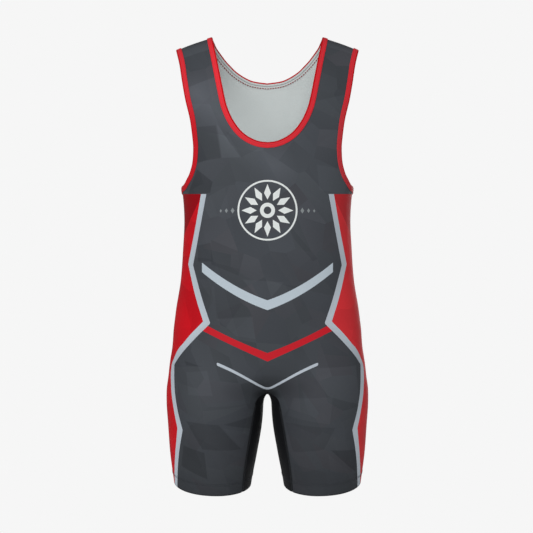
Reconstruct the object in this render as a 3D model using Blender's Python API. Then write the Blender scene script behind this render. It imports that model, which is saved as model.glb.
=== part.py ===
# Wrestling singlet: one stretch garment with two wide shoulder straps and short legs, kept in its worn shape.
# Metres. Z is up, the front faces -Y and the wearer's left is +X.
# The origin lies midway between the straps, at the height where they rest on the shoulders.

import bpy
import bmesh
import numpy as np

# ---------------------------------------------------------------- main sizes
CLOTH = 0.0012        # wall of the panels
SEAM_GAP = 0.0003     # space left between neighbouring pieces
BAND_T = 0.0010       # one ply of a folded binding
BAND_W = 0.0088       # how far a binding reaches over a panel
BAND_ROUND = 0.0008   # rounding of the fold

HEM_Z = -0.830        # height of the hem under the middle of each leg
HEM_TILT = 0.060      # the hem rises outwards by this much per metre
LEG_X = 0.103         # middle of a leg at the hem
CROTCH_Z = -0.654
SIDE_AT_CROTCH = -0.675
UNDERARM_Z = -0.2768
CHEST_Z = -0.305      # middle of the row that starts under the arm

RIDGE_Z = 0.006       # height of the shoulder line where it crosses RIDGE_X
RIDGE_X = 0.134
RIDGE_FALL = 0.250    # the shoulder line falls outwards

TRUNK_POWER = 2.35    # 2 would be an ellipse, more is squarer
LEG_POWER = 2.10
SHOULDER_BLEND = 0.040
CROTCH_BLEND = 0.070
GROIN_BLEND = 0.030
LEG_TOP = -0.560
LEG_TOP_BLEND = 0.100

LEG_ROWS = 8          # rows of facets on the legs
BODY_ROWS = 19        # rows from the crotch to the underarm
ARM_ROWS = 18         # rows from the underarm to the shoulder seam
FRONT_NECK_ROWS = 13  # of these, the rows that end on the neck edge
BACK_NECK_ROWS = 8
COLUMNS = 9           # columns on half a panel
THIGH_COLUMNS = 4

# Sections of the body: height, half width, depth of the front, depth of the back.
TRUNK = np.array([
    [-0.700, 0.100, 0.030, 0.050],
    [-0.655, 0.135, 0.074, 0.090],
    [-0.615, 0.166, 0.096, 0.113],
    [-0.570, 0.177, 0.102, 0.121],
    [-0.510, 0.173, 0.104, 0.112],
    [-0.450, 0.1635, 0.101, 0.092],
    [-0.390, 0.159, 0.104, 0.088],
    [-0.330, 0.1565, 0.111, 0.098],
    [-0.275, 0.161, 0.115, 0.108],
    [-0.200, 0.176, 0.108, 0.112],
    [-0.130, 0.192, 0.091, 0.103],
    [-0.070, 0.204, 0.066, 0.080],
    [-0.020, 0.210, 0.040, 0.054],
    [0.040, 0.214, 0.020, 0.030],
])

# Sections of a leg: height, middle, half width, depth of the front, depth of the back.
LEG = np.array([
    [-0.860, 0.1030, 0.0690, 0.078, 0.084],
    [-0.830, 0.1028, 0.0728, 0.082, 0.088],
    [-0.773, 0.1011, 0.0820, 0.090, 0.094],
    [-0.716, 0.0985, 0.0888, 0.096, 0.102],
    [-0.678, 0.0986, 0.0913, 0.099, 0.108],
    [-0.620, 0.0980, 0.0900, 0.098, 0.114],
    [-0.560, 0.0950, 0.0840, 0.092, 0.112],
])

# Edges and seams on the wearer's left: x, y, z. The other side is their mirror image.
NECK_FRONT = np.array([
    [0.0000, -0.109, -0.2078],
    [0.0163, -0.108, -0.2055],
    [0.0338, -0.106, -0.1970],
    [0.0473, -0.103, -0.1850],
    [0.0599, -0.098, -0.1670],
    [0.0685, -0.092, -0.1482],
    [0.0740, -0.087, -0.1306],
    [0.0833, -0.070, -0.0867],
    [0.0916, -0.050, -0.0462],
    [0.0989, -0.033, -0.0130],
    [0.1024, -0.018, 0.0040],
    [0.1038, 0.000, 0.0090],
])
NECK_BACK = np.array([
    [0.0000, 0.072, -0.0546],
    [0.0269, 0.070, -0.0513],
    [0.0439, 0.066, -0.0454],
    [0.0616, 0.060, -0.0353],
    [0.0732, 0.054, -0.0252],
    [0.0828, 0.049, -0.0160],
    [0.0974, 0.033, 0.0005],
    [0.1020, 0.016, 0.0070],
    [0.1038, 0.000, 0.0090],
])
ARMHOLE = np.array([
    [0.1612, 0.000, -0.2768],
    [0.1600, -0.022, -0.2755],
    [0.1565, -0.037, -0.2744],
    [0.1511, -0.050, -0.2727],
    [0.1460, -0.0595, -0.2667],
    [0.1405, -0.0685, -0.2588],
    [0.1370, -0.0735, -0.2507],
    [0.1330, -0.078, -0.2370],
    [0.1317, -0.080, -0.2162],
    [0.1327, -0.079, -0.1983],
    [0.1381, -0.074, -0.1616],
    [0.1478, -0.064, -0.1234],
    [0.1552, -0.052, -0.0865],
    [0.1602, -0.042, -0.0591],
    [0.1654, -0.032, -0.0374],
    [0.1704, -0.018, -0.0210],
    [0.1730, 0.000, -0.0155],
])
THIGH_SEAM = np.array([
    [0.0453, -0.052, -0.8335],
    [0.0418, -0.059, -0.7908],
    [0.0362, -0.062, -0.7538],
    [0.0301, -0.063, -0.7176],
    [0.0245, -0.060, -0.6880],
    [0.0205, -0.055, -0.6700],
    [0.0150, -0.050, -0.6610],
    [0.0075, -0.040, -0.6580],
    [0.0000, -0.030, -0.6570],
])

GREY = (0.068, 0.074, 0.080, 1.0)
BLACK = (0.013, 0.014, 0.016, 1.0)
RED = (0.640, 0.030, 0.045, 1.0)


# ---------------------------------------------------------------- the worn form
def along(table, column, height):
    """Smooth value of a table's column at the given heights."""
    heights = table[:, 0]
    values = table[:, column]
    lean = np.gradient(values, heights)
    height = np.clip(height, heights[0], heights[-1])
    i = np.clip(np.searchsorted(heights, height, side="right") - 1, 0, len(heights) - 2)
    step = heights[i + 1] - heights[i]
    t = (height - heights[i]) / step
    start = values[i] * (2 * t**3 - 3 * t**2 + 1) + step * lean[i] * (t**3 - 2 * t**2 + t)
    end = values[i + 1] * (3 * t**2 - 2 * t**3) + step * lean[i + 1] * (t**3 - t**2)
    return start + end


def ring(x, y, half, front, back, power):
    """Below zero inside a rounded section, above zero outside it."""
    depth = np.where(y < 0, front, back)
    reach = (np.abs(x / half) ** power + np.abs(y / depth) ** power) ** (1 / power)
    return (reach - 1) * np.minimum(half, (front + back) / 2)


def join(a, b, blend):
    """Both shapes together, with a soft valley between them."""
    h = np.maximum(blend - np.abs(a - b), 0) / blend
    return np.minimum(a, b) - h * h * blend * 0.25


def trim(a, b, blend):
    """What both shapes share, with a soft edge."""
    return -join(-a, -b, blend)


def form(p):
    """Below zero inside the worn shape, zero on the outer face of the cloth."""
    x, y, z = p[..., 0], p[..., 1], p[..., 2]
    trunk = ring(x, y, along(TRUNK, 1, z), along(TRUNK, 2, z), along(TRUNK, 3, z), TRUNK_POWER)
    roof = (z - RIDGE_Z + RIDGE_FALL * (np.abs(x) - RIDGE_X)) / np.hypot(1, RIDGE_FALL)
    trunk = trim(trunk, roof, SHOULDER_BLEND)
    trunk = trim(trunk, CROTCH_Z - z, CROTCH_BLEND)
    aside = np.abs(x) - along(LEG, 1, z)
    leg = ring(aside, y, along(LEG, 2, z), along(LEG, 3, z), along(LEG, 4, z), LEG_POWER)
    leg = trim(leg, z - LEG_TOP, LEG_TOP_BLEND)
    return join(trunk, leg, GROIN_BLEND)


def outward(p):
    """Unit normals of the form."""
    tiny = 1e-5
    parts = []
    for axis in range(3):
        move = np.zeros(3)
        move[axis] = tiny
        parts.append((form(p + move) - form(p - move)) / (2 * tiny))
    n = np.stack(parts, -1)
    return n / np.linalg.norm(n, axis=-1, keepdims=True)


def settle(p):
    """Points moved the short way onto the form."""
    p = np.array(p, float)
    for _ in range(12):
        n = outward(p)
        p = p - n * form(p)[..., None]
    return p


def cast(root, way):
    """Where rays that start inside the form leave it."""
    near = np.zeros(way.shape[:-1])
    far = np.full(way.shape[:-1], 0.24)
    for _ in range(44):
        middle = (near + far) / 2
        inside = form(root + way * middle[..., None]) < 0
        near = np.where(inside, middle, near)
        far = np.where(inside, far, middle)
    return root + way * near[..., None]


def unit(v):
    return v / np.linalg.norm(v, axis=-1, keepdims=True)


def smooth_step(t):
    t = np.clip(t, 0, 1)
    return t * t * (3 - 2 * t)


def root_of(p):
    """The point inside the form from which a point of the cloth is seen squarely."""
    x, z = p[..., 0], p[..., 2]
    leg = along(LEG, 1, z) * smooth_step((-0.560 - z) / 0.130)
    strap = 0.9 * x * smooth_step((z + 0.300) / 0.180)
    return np.stack([leg + strap, np.zeros_like(x), np.minimum(z, -0.100)], -1)


def swing(a, b, t):
    """Unit directions turned evenly from a to b."""
    angle = np.arccos(np.clip((a * b).sum(-1), -1, 1))
    t = t[:, None]
    return unit(np.sin((1 - t) * angle) * a + np.sin(t * angle) * b)


def row(start, end, columns):
    """Points laid on the form from one point of the cloth to another."""
    t = np.linspace(0, 1, columns + 1)
    a, b = root_of(start), root_of(end)
    ways = swing(unit(start - a), unit(end - b), t)
    roots = a + (b - a) * t[:, None]
    points = cast(roots, ways)
    points[0], points[-1] = start, end
    return points


def curve(table, count):
    """A smooth line through a table's points, laid on the form in equal steps."""
    p = np.array(table, float)
    before = 2 * p[0] - p[1]
    after = 2 * p[-1] - p[-2]
    q = np.vstack([before, p, after])
    t = np.linspace(0, 1, 24, endpoint=False)[:, None]
    fine = []
    for i in range(1, len(q) - 2):
        a, b, c, d = q[i - 1], q[i], q[i + 1], q[i + 2]
        bend = 2 * b + (c - a) * t + (2 * a - 5 * b + 4 * c - d) * t**2 + (3 * b - a - 3 * c + d) * t**3
        fine.append(bend / 2)
    fine = np.vstack(fine + [p[-1:]])
    run = np.append(0, np.cumsum(np.linalg.norm(np.diff(fine, axis=0), axis=1)))
    even = np.linspace(0, run[-1], count + 1)
    line = np.stack([np.interp(even, run, fine[:, k]) for k in range(3)], -1)
    return settle(line)


def heading(line):
    return unit(np.gradient(line, axis=0))


def moved_over(line, distance, side):
    """A line moved sideways on the form. The side is +1 for the left of its run, seen from outside."""
    across = np.cross(outward(line), heading(line)) * side
    return settle(line + across * distance)


def hem_height(x):
    return HEM_Z + HEM_TILT * (np.abs(x) - LEG_X)


def hem_line(start, end, columns, turn):
    """The hem between two points, round the leg."""
    middle = np.array([LEG_X, 0.0])
    first = np.arctan2(start[1] - middle[1], start[0] - middle[0])
    last = np.arctan2(end[1] - middle[1], end[0] - middle[0])
    if turn > 0 and last < first:
        last += 2 * np.pi
    if turn < 0 and last > first:
        last -= 2 * np.pi
    angle = np.linspace(first, last, columns + 1)
    way = np.stack([np.cos(angle), np.sin(angle), np.zeros_like(angle)], -1)
    height = np.full(columns + 1, HEM_Z)
    for _ in range(6):
        root = np.stack([np.full_like(angle, LEG_X), np.zeros_like(angle), height], -1)
        points = cast(root, way)
        height = hem_height(points[:, 0])
    points[:, 2] = height
    return points


def flip_y(table):
    return table * np.array([1, -1, 1])


# ---------------------------------------------------------------- seams shared by the pieces
FOLD = BAND_T + SEAM_GAP


def side_seam():
    """The seam under the arm, from the hem to the bound armhole."""
    leg = np.linspace(HEM_Z, SIDE_AT_CROTCH, LEG_ROWS + 1)
    body = np.linspace(SIDE_AT_CROTCH, UNDERARM_Z - FOLD - BAND_W, BODY_ROWS + 1)
    z = np.append(leg, body[1:])
    for _ in range(6):
        root = np.stack([root_of(np.stack([0 * z, 0 * z, z], -1))[:, 0], 0 * z, z], -1)
        way = np.tile([1.0, 0.0, 0.0], (len(z), 1))
        points = cast(root, way)
        z[0] = hem_height(points[0, 0])
    return points


def bound_edge(table, count, side, flat_start, flat_end):
    """The raw edge of a panel and the line that its binding reaches, from the finished edge."""
    finished = curve(table, count)
    raw = moved_over(finished, FOLD, side)
    reach = moved_over(raw, BAND_W, side)
    for line in (raw, reach):
        line[0, flat_start] = 0.0
        line[-1, flat_end] = 0.0
    return settle(raw), settle(reach)


def shared_seams(face):
    """Every seam of the front (face -1) or the back (face +1), on the wearer's left."""
    if face < 0:
        neck_table, arm_table, thigh_table = NECK_FRONT, ARMHOLE, THIGH_SEAM
        neck_rows = FRONT_NECK_ROWS
    else:
        neck_table, arm_table, thigh_table = NECK_BACK, flip_y(ARMHOLE), flip_y(THIGH_SEAM)
        neck_rows = BACK_NECK_ROWS
    neck = bound_edge(neck_table, neck_rows, face, 0, 1)
    arm = bound_edge(arm_table, ARM_ROWS, -face, 1, 1)
    thigh = curve(thigh_table, LEG_ROWS)
    thigh[0, 2] = hem_height(thigh[0, 0])
    thigh[-1, 0] = 0.0
    return {"neck": neck, "arm": arm, "thigh": thigh, "neck_rows": neck_rows}


def centre_line(low, high, upper_rows):
    """The middle of the front or back, from the crotch to the neck."""
    body = np.linspace(low[2], CHEST_Z, BODY_ROWS + 1)
    chest = np.linspace(CHEST_Z, high[2], upper_rows + 1)
    z = np.append(body, chest[1:])
    root = np.stack([0 * z, 0 * z, z], -1)
    points = cast(root, np.tile([0.0, np.sign(low[1]), 0.0], (len(z), 1)))
    points[0], points[-1] = low, high
    return points


# ---------------------------------------------------------------- cloth solids
def cut_square(points, square):
    """A four-cornered face cut in two along its shorter diagonal."""
    a, b, c, d = square
    if np.linalg.norm(points[a] - points[c]) <= np.linalg.norm(points[b] - points[d]):
        return [(a, b, c), (a, c, d)]
    return [(a, b, d), (b, c, d)]


def crosses_from_reach(raw, reach, k, after):
    """True where the cut of a strip runs from its inner line at k to its edge at the next station."""
    return np.linalg.norm(reach[k] - raw[after]) < np.linalg.norm(raw[k] - reach[after])


def strip_faces(raw, reach, on_edge, on_line, forward):
    """Faces between a panel's edge and the line its binding reaches, given the numbers of the points."""
    faces = []
    for k in range(len(raw) - 1):
        p, q, r, s = on_line[k], on_line[k + 1], on_edge[k + 1], on_edge[k]
        if crosses_from_reach(raw, reach, k, k + 1):
            pair = [(p, q, r), (p, r, s)]
        else:
            pair = [(p, q, s), (q, r, s)]
        faces += pair if forward else [f[::-1] for f in pair]
    return faces


def half_panel(face, seams, side):
    """One half of the front or back as a grid: hem at the first row, shoulder seam at the last."""
    neck_reach, arm_reach, thigh = seams["neck"][1], seams["arm"][1], seams["thigh"]
    upper_rows = ARM_ROWS - seams["neck_rows"]
    centre = centre_line(thigh[-1], neck_reach[0], upper_rows)
    inner = np.vstack([thigh, centre[1:], neck_reach[1:]])
    outer = np.vstack([side, arm_reach[1:]])
    rows = [hem_line(inner[0], outer[0], COLUMNS, -face)]
    rows[0][0], rows[0][-1] = inner[0], outer[0]
    for start, end in zip(inner[1:], outer[1:]):
        rows.append(row(start, end, COLUMNS))
    grid = np.array(rows)
    low = np.array(grid)
    away = unit(grid[:, 1] - grid[:, 0])
    run = heading(grid[:, 0])
    across = unit(away - run * (away * run).sum(-1, keepdims=True))
    grid[:LEG_ROWS + 1, 0] = (low[:, 0] + across * SEAM_GAP / 2)[:LEG_ROWS + 1]
    notch = unit(low[LEG_ROWS + 1, 0] - low[LEG_ROWS, 0])
    grid[LEG_ROWS, 0] = low[LEG_ROWS, 0] + notch * SEAM_GAP / 2
    return grid, BODY_ROWS + upper_rows


def ease_from_seam(points, face):
    """Points on the side or shoulder seam drawn back by half the gap."""
    points = np.array(points)
    on_seam = np.abs(points[:, 1]) < 1e-6
    points[on_seam, 1] = face * SEAM_GAP / 2
    return points


def panel_skin(face, seams, side):
    """Points and faces of the outer skin of a whole front or back panel."""
    grid, centre_rows = half_panel(face, seams, side)
    rows, columns = grid.shape[:2]
    number = np.arange(rows * columns).reshape(rows, columns)
    points = grid.reshape(-1, 3)
    faces = []
    for r in range(rows - 1):
        for c in range(columns - 1):
            square = (number[r, c], number[r, c + 1], number[r + 1, c + 1], number[r + 1, c])
            faces += cut_square(points, square)
    edges = (
        ("neck", number[LEG_ROWS + centre_rows:, 0], True),
        ("arm", number[LEG_ROWS + BODY_ROWS:, columns - 1], False),
    )
    for name, line, forward in edges:
        raw, reach = seams[name]
        faces += strip_faces(raw, reach, len(points) + np.arange(len(raw)), line, forward)
        points = np.vstack([points, raw])
    points = ease_from_seam(points, face)
    if face > 0:
        faces = [f[::-1] for f in faces]
    return with_mirror(points, faces)


def with_mirror(points, faces):
    """The skin together with its mirror image, welded where it touches the middle."""
    middle = np.abs(points[:, 0]) < 1e-7
    twin = np.empty(len(points), int)
    extra = []
    for k in range(len(points)):
        if middle[k]:
            twin[k] = k
        else:
            twin[k] = len(points) + len(extra)
            extra.append(points[k] * np.array([-1, 1, 1]))
    mirrored = [tuple(twin[k] for k in f[::-1]) for f in faces]
    return np.vstack([points, extra]), faces + mirrored


def thigh_skin(front, back, sign):
    """The inside of one leg, between its front seam, its back seam and the crotch seam."""
    t = np.linspace(0, 1, THIGH_COLUMNS + 1)
    hem = hem_line(front[0], back[0], THIGH_COLUMNS, -1)
    root = np.array([0.0, 0.0, -0.600])
    ways = swing(unit(front[-1] - root), unit(back[-1] - root), t)
    top = cast(np.tile(root, (len(t), 1)), ways)
    grid = np.zeros((LEG_ROWS + 1, THIGH_COLUMNS + 1, 3))
    for r in range(LEG_ROWS + 1):
        v = r / LEG_ROWS
        for c in range(THIGH_COLUMNS + 1):
            u = c / THIGH_COLUMNS
            ruled = (1 - v) * hem[c] + v * top[c] + (1 - u) * front[r] + u * back[r]
            corners = (1 - v) * ((1 - u) * hem[0] + u * hem[-1]) + v * ((1 - u) * top[0] + u * top[-1])
            grid[r, c] = ruled - corners
    inside = grid[1:-1, 1:-1]
    grid[1:-1, 1:-1] = settle(inside)
    grid[0], grid[-1] = hem, top
    for r in range(LEG_ROWS + 1):
        for edge, neighbour, line in ((0, 1, front), (-1, -2, back)):
            run = heading(line)[r]
            away = unit(grid[r, neighbour] - line[r])
            across = unit(away - run * (away @ run))
            grid[r, edge] = line[r] + across * SEAM_GAP / 2
    grid[-1, :, 0] = SEAM_GAP / 2
    down = SEAM_GAP * 0.6
    grid[-1, 0] = top[0] + unit(top[1] - top[0]) * down + np.array([SEAM_GAP / 2, 0, 0])
    grid[-1, -1] = top[-1] + unit(top[-2] - top[-1]) * down + np.array([SEAM_GAP / 2, 0, 0])
    points = grid.reshape(-1, 3) * np.array([sign, 1, 1])
    columns = THIGH_COLUMNS + 1
    faces = []
    for r in range(LEG_ROWS):
        for c in range(THIGH_COLUMNS):
            a = r * columns + c
            faces += cut_square(points, (a, a + columns, a + columns + 1, a + 1))
    return points, faces


def wall(points, skin):
    """A closed sheet of cloth whose outer skin is given."""
    count = len(points)
    inner = points - outward(points) * CLOTH
    faces = list(skin) + [tuple(count + k for k in f[::-1]) for f in skin]
    used = set()
    for f in skin:
        for k in range(3):
            used.add((f[k], f[(k + 1) % 3]))
    for a, b in sorted(used):
        if (b, a) not in used:
            faces.append((b, a, count + a, count + b))
    return np.vstack([points, inner]), faces


def folded_strip(raw, reach):
    """A binding folded over a closed edge, with one ply outside the panel and one inside it."""
    n_edge, n_reach = outward(raw), outward(reach)
    over = unit(raw - reach)
    over = unit(over - n_edge * (over * n_edge).sum(-1, keepdims=True))
    top = SEAM_GAP + BAND_T
    low = -CLOTH - SEAM_GAP - BAND_T
    turn = FOLD - BAND_ROUND
    profile = [
        reach + n_reach * top,
        raw + n_edge * top + over * turn,
        raw + n_edge * (top - BAND_ROUND) + over * FOLD,
        raw + n_edge * (low + BAND_ROUND) + over * FOLD,
        raw + n_edge * low + over * turn,
        reach + n_reach * low,
        reach + n_reach * (low + BAND_T),
        raw + n_edge * (low + BAND_T) + over * SEAM_GAP,
        raw + n_edge * SEAM_GAP + over * SEAM_GAP,
        reach + n_reach * SEAM_GAP,
    ]
    at_edge = [False, True, True, True, True, False, False, True, True, False]
    sides, count = len(profile), len(raw)
    points = np.stack(profile, 1).reshape(-1, 3)
    faces = []
    for k in range(count):
        after = (k + 1) % count
        from_reach = crosses_from_reach(raw, reach, k, after)
        for s in range(sides):
            t = (s + 1) % sides
            a, b, c, d = k * sides + s, k * sides + t, after * sides + t, after * sides + s
            if at_edge[s] == at_edge[t] or from_reach == at_edge[t]:
                faces += [(a, b, c), (a, c, d)]
            else:
                faces += [(a, b, d), (b, c, d)]
    return points, faces


# ---------------------------------------------------------------- objects
def material(name, colour, rough):
    m = bpy.data.materials.new(name)
    m.use_nodes = True
    shader = m.node_tree.nodes["Principled BSDF"]
    shader.inputs["Base Color"].default_value = colour
    shader.inputs["Roughness"].default_value = rough
    shader.inputs["Sheen Weight"].default_value = 0.2
    m.diffuse_color = colour
    return m


def add(name, points, faces, colour, rough):
    mesh = bpy.data.meshes.new(name)
    mesh.from_pydata(points.tolist(), [], [tuple(int(k) for k in f) for f in faces])
    solid = bmesh.new()
    solid.from_mesh(mesh)
    if solid.calc_volume(signed=True) < 0:
        bmesh.ops.reverse_faces(solid, faces=solid.faces[:])
        solid.to_mesh(mesh)
    solid.free()
    mesh.materials.append(material(name + "_cloth", colour, rough))
    for polygon in mesh.polygons:
        polygon.use_smooth = True
    mesh.set_sharp_from_angle(angle=0.7)
    mesh.update()
    made = bpy.data.objects.new(name, mesh)
    bpy.context.scene.collection.objects.link(made)
    return made


def main():
    for old in list(bpy.data.objects):
        bpy.data.objects.remove(old, do_unlink=True)
    front, back, side = shared_seams(-1), shared_seams(1), side_seam()
    add("front_panel", *wall(*panel_skin(-1, front, side)), GREY, 0.55)
    add("back_panel", *wall(*panel_skin(1, back, side)), GREY, 0.55)
    for name, sign in (("inner_thigh_left", 1), ("inner_thigh_right", -1)):
        add(name, *wall(*thigh_skin(front["thigh"], back["thigh"], sign)), BLACK, 0.60)
    mirror = np.array([-1, 1, 1])
    loop = []
    for kind in (0, 1):
        left = np.vstack([front["neck"][kind], back["neck"][kind][-2::-1]])
        loop.append(np.vstack([left, left[-2:0:-1] * mirror]))
    add("neck_binding", *folded_strip(loop[0], loop[1]), RED, 0.50)
    for name, sign in (("armhole_binding_left", 1), ("armhole_binding_right", -1)):
        ends = []
        for kind in (0, 1):
            line = np.vstack([front["arm"][kind], back["arm"][kind][-2:0:-1]])
            ends.append(line * np.array([sign, 1, 1]))
        add(name, *folded_strip(ends[0], ends[1]), RED, 0.50)


main()
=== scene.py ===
# Wrestling singlet: the looks of a one-piece stretch garment that keeps its worn shape.
# Metres, in the same frame as the solids: Z is up, the front faces -Y and the wearer's left is +X.

import bpy
import numpy as np
from math import pi
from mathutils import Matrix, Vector


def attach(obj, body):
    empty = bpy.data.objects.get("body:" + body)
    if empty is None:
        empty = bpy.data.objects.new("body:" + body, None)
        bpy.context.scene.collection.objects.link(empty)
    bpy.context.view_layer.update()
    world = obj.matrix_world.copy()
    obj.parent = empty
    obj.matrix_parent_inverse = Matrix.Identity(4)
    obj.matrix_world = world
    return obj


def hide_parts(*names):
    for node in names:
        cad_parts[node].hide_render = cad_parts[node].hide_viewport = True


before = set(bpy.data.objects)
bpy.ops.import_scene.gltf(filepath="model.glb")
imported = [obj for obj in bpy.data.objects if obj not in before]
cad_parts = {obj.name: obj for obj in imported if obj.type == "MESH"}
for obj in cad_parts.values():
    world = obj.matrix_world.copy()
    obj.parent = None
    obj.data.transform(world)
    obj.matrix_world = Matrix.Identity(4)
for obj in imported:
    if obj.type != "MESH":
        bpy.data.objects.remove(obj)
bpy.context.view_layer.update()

# ---------------------------------------------------------------- sizes of the garment
CLOTH = 0.0011        # wall of the knit
SEAM_GAP = 0.0003     # space between neighbouring pieces
SEAM_DIP = 0.0008     # how deep the edges of two pieces turn in at their seam
SEAM_ROLL = 0.0022    # width of that turn
FOLD = 0.0013         # a binding stands this far over the raw edge of a panel
NECK_BAND = 0.0093    # how far the neck binding reaches over a panel
ARM_BAND = 0.0097     # the same for the armhole bindings
BAND_T = 0.0010       # one ply of a binding
BAND_CROWN = 0.0004   # a binding is this much thicker in its middle
BAND_THROUGH = CLOTH + 2 * SEAM_GAP + 2 * BAND_T  # through both plies and the panel between them
HEM_TURN = 0.022      # depth of the hem's turned-in ply

HEM_Z = -0.830
HEM_TILT = 0.060
LEG_X = 0.103
CROTCH_Z = -0.654
SIDE_AT_CROTCH = -0.675
UNDERARM_Z = -0.2768
CHEST_Z = -0.305
RIDGE_Z = 0.006
RIDGE_X = 0.134
RIDGE_FALL = 0.250

TRUNK_POWER = 2.35
LEG_POWER = 2.10
SHOULDER_BLEND = 0.040
CROTCH_BLEND = 0.070
GROIN_BLEND = 0.030
LEG_TOP = -0.560
LEG_TOP_BLEND = 0.100

# Rays start on a line inside the form: in the legs it runs down their middles, in the straps it leans out.
RAY_REACH = 0.24      # no ray is longer than this
LEG_ROOT_OVER = 0.130  # the line moves from the body's middle into a leg over this height
STRAP_ROOT = (0.9, -0.300, 0.180)  # share of the way out, height where that starts, height to reach it
ROOT_TOP = -0.100     # no ray starts higher than this
CROTCH_ROOT = (0.0, 0.0, -0.600)   # rays to the crotch seam start here

TINY = 1e-6           # a distance that counts as none
WELD = 1e-7           # points this near to the middle are welded to their mirror images
SETTLE_STEPS = 12
HALVINGS = 40
HEM_STEPS = 6
CURVE_STEPS = 24
SHARP_ANGLE = 0.75    # edges sharper than this, in radians, aren't shaded smoothly

LEG_ROWS = 36
BODY_ROWS = 84
ARM_ROWS = 66
FRONT_NECK_ROWS = 48
BACK_NECK_ROWS = 30
COLUMNS = 50
THIGH_COLUMNS = 26

# Sections of the body: height, half width, depth of the front, depth of the back.
TRUNK = np.array([
    [-0.700, 0.100, 0.030, 0.050],
    [-0.655, 0.135, 0.074, 0.090],
    [-0.615, 0.166, 0.096, 0.113],
    [-0.570, 0.177, 0.102, 0.121],
    [-0.510, 0.173, 0.104, 0.112],
    [-0.450, 0.1635, 0.101, 0.092],
    [-0.390, 0.159, 0.104, 0.088],
    [-0.330, 0.1565, 0.111, 0.098],
    [-0.275, 0.161, 0.115, 0.108],
    [-0.200, 0.176, 0.108, 0.112],
    [-0.130, 0.192, 0.091, 0.103],
    [-0.070, 0.204, 0.066, 0.080],
    [-0.020, 0.210, 0.040, 0.054],
    [0.040, 0.214, 0.020, 0.030],
])

# Sections of a leg: height, middle, half width, depth of the front, depth of the back.
LEG = np.array([
    [-0.860, 0.1030, 0.0690, 0.078, 0.084],
    [-0.830, 0.1028, 0.0728, 0.082, 0.088],
    [-0.773, 0.1011, 0.0820, 0.090, 0.094],
    [-0.716, 0.0985, 0.0888, 0.096, 0.102],
    [-0.678, 0.0986, 0.0913, 0.099, 0.108],
    [-0.620, 0.0980, 0.0900, 0.098, 0.114],
    [-0.560, 0.0950, 0.0840, 0.092, 0.112],
])

# Edges and seams on the wearer's left: x, y, z. The other side is their mirror image.
NECK_FRONT = np.array([
    [0.0000, -0.109, -0.2078],
    [0.0163, -0.108, -0.2055],
    [0.0338, -0.106, -0.1970],
    [0.0473, -0.103, -0.1850],
    [0.0599, -0.098, -0.1670],
    [0.0685, -0.092, -0.1482],
    [0.0740, -0.087, -0.1306],
    [0.0833, -0.070, -0.0867],
    [0.0916, -0.050, -0.0462],
    [0.0989, -0.033, -0.0130],
    [0.1024, -0.018, 0.0040],
    [0.1038, 0.000, 0.0090],
])
NECK_BACK = np.array([
    [0.0000, 0.072, -0.0546],
    [0.0269, 0.070, -0.0513],
    [0.0439, 0.066, -0.0454],
    [0.0616, 0.060, -0.0353],
    [0.0732, 0.054, -0.0252],
    [0.0828, 0.049, -0.0160],
    [0.0974, 0.033, 0.0005],
    [0.1020, 0.016, 0.0070],
    [0.1038, 0.000, 0.0090],
])
ARMHOLE = np.array([
    [0.1612, 0.000, -0.2768],
    [0.1600, -0.022, -0.2755],
    [0.1565, -0.037, -0.2744],
    [0.1511, -0.050, -0.2727],
    [0.1460, -0.0595, -0.2667],
    [0.1405, -0.0685, -0.2588],
    [0.1370, -0.0735, -0.2507],
    [0.1330, -0.078, -0.2370],
    [0.1317, -0.080, -0.2162],
    [0.1327, -0.079, -0.1983],
    [0.1381, -0.074, -0.1616],
    [0.1478, -0.064, -0.1234],
    [0.1552, -0.052, -0.0865],
    [0.1602, -0.042, -0.0591],
    [0.1654, -0.032, -0.0374],
    [0.1704, -0.018, -0.0210],
    [0.1730, 0.000, -0.0155],
])
THIGH_SEAM = np.array([
    [0.0453, -0.052, -0.8335],
    [0.0418, -0.059, -0.7908],
    [0.0362, -0.062, -0.7538],
    [0.0301, -0.063, -0.7176],
    [0.0245, -0.060, -0.6880],
    [0.0205, -0.055, -0.6700],
    [0.0150, -0.050, -0.6610],
    [0.0075, -0.040, -0.6580],
    [0.0000, -0.030, -0.6570],
])

# Soft creases of the stretched cloth on the wearer's left:
# start x, start z, end x, end z, half width, depth, face (-1 front, +1 back).
CREASES = (
    (0.014, -0.650, 0.075, -0.638, 0.010, 0.0008, -1),
    (0.020, -0.662, 0.090, -0.674, 0.011, 0.0007, -1),
    (0.008, -0.655, 0.060, -0.632, 0.009, 0.0014, 1),
    (0.020, -0.672, 0.085, -0.668, 0.011, 0.0016, 1),
    (0.000, -0.640, 0.004, -0.560, 0.011, 0.0022, 1),
    (0.120, -0.262, 0.086, -0.292, 0.012, 0.0010, 1),
)
CREASE_IN = 0.25      # a crease gets deeper over this share of its length
CREASE_OUT = 0.60     # and runs out over this one

# The map of the cloth: how fast it runs round the body, and the depth from which it starts to.
WRAP = 3.6
WRAP_FROM = 0.110
# It also runs on over the shoulders: how fast, from which height, and the height over which it starts to.
TOP_WRAP = (0.5, -0.150, 0.150)

# ---------------------------------------------------------------- the print
PRINT_TOP = -0.2853   # height at the sides where the side areas and their lines start
PRINT_FALL = 0.1127   # that edge falls by this much per metre of depth
PRINT_LOW = -0.845
EDGE_NEAR = 0.090     # the two outlines below lie between these distances from the middle
EDGE_FAR = 0.190

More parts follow.
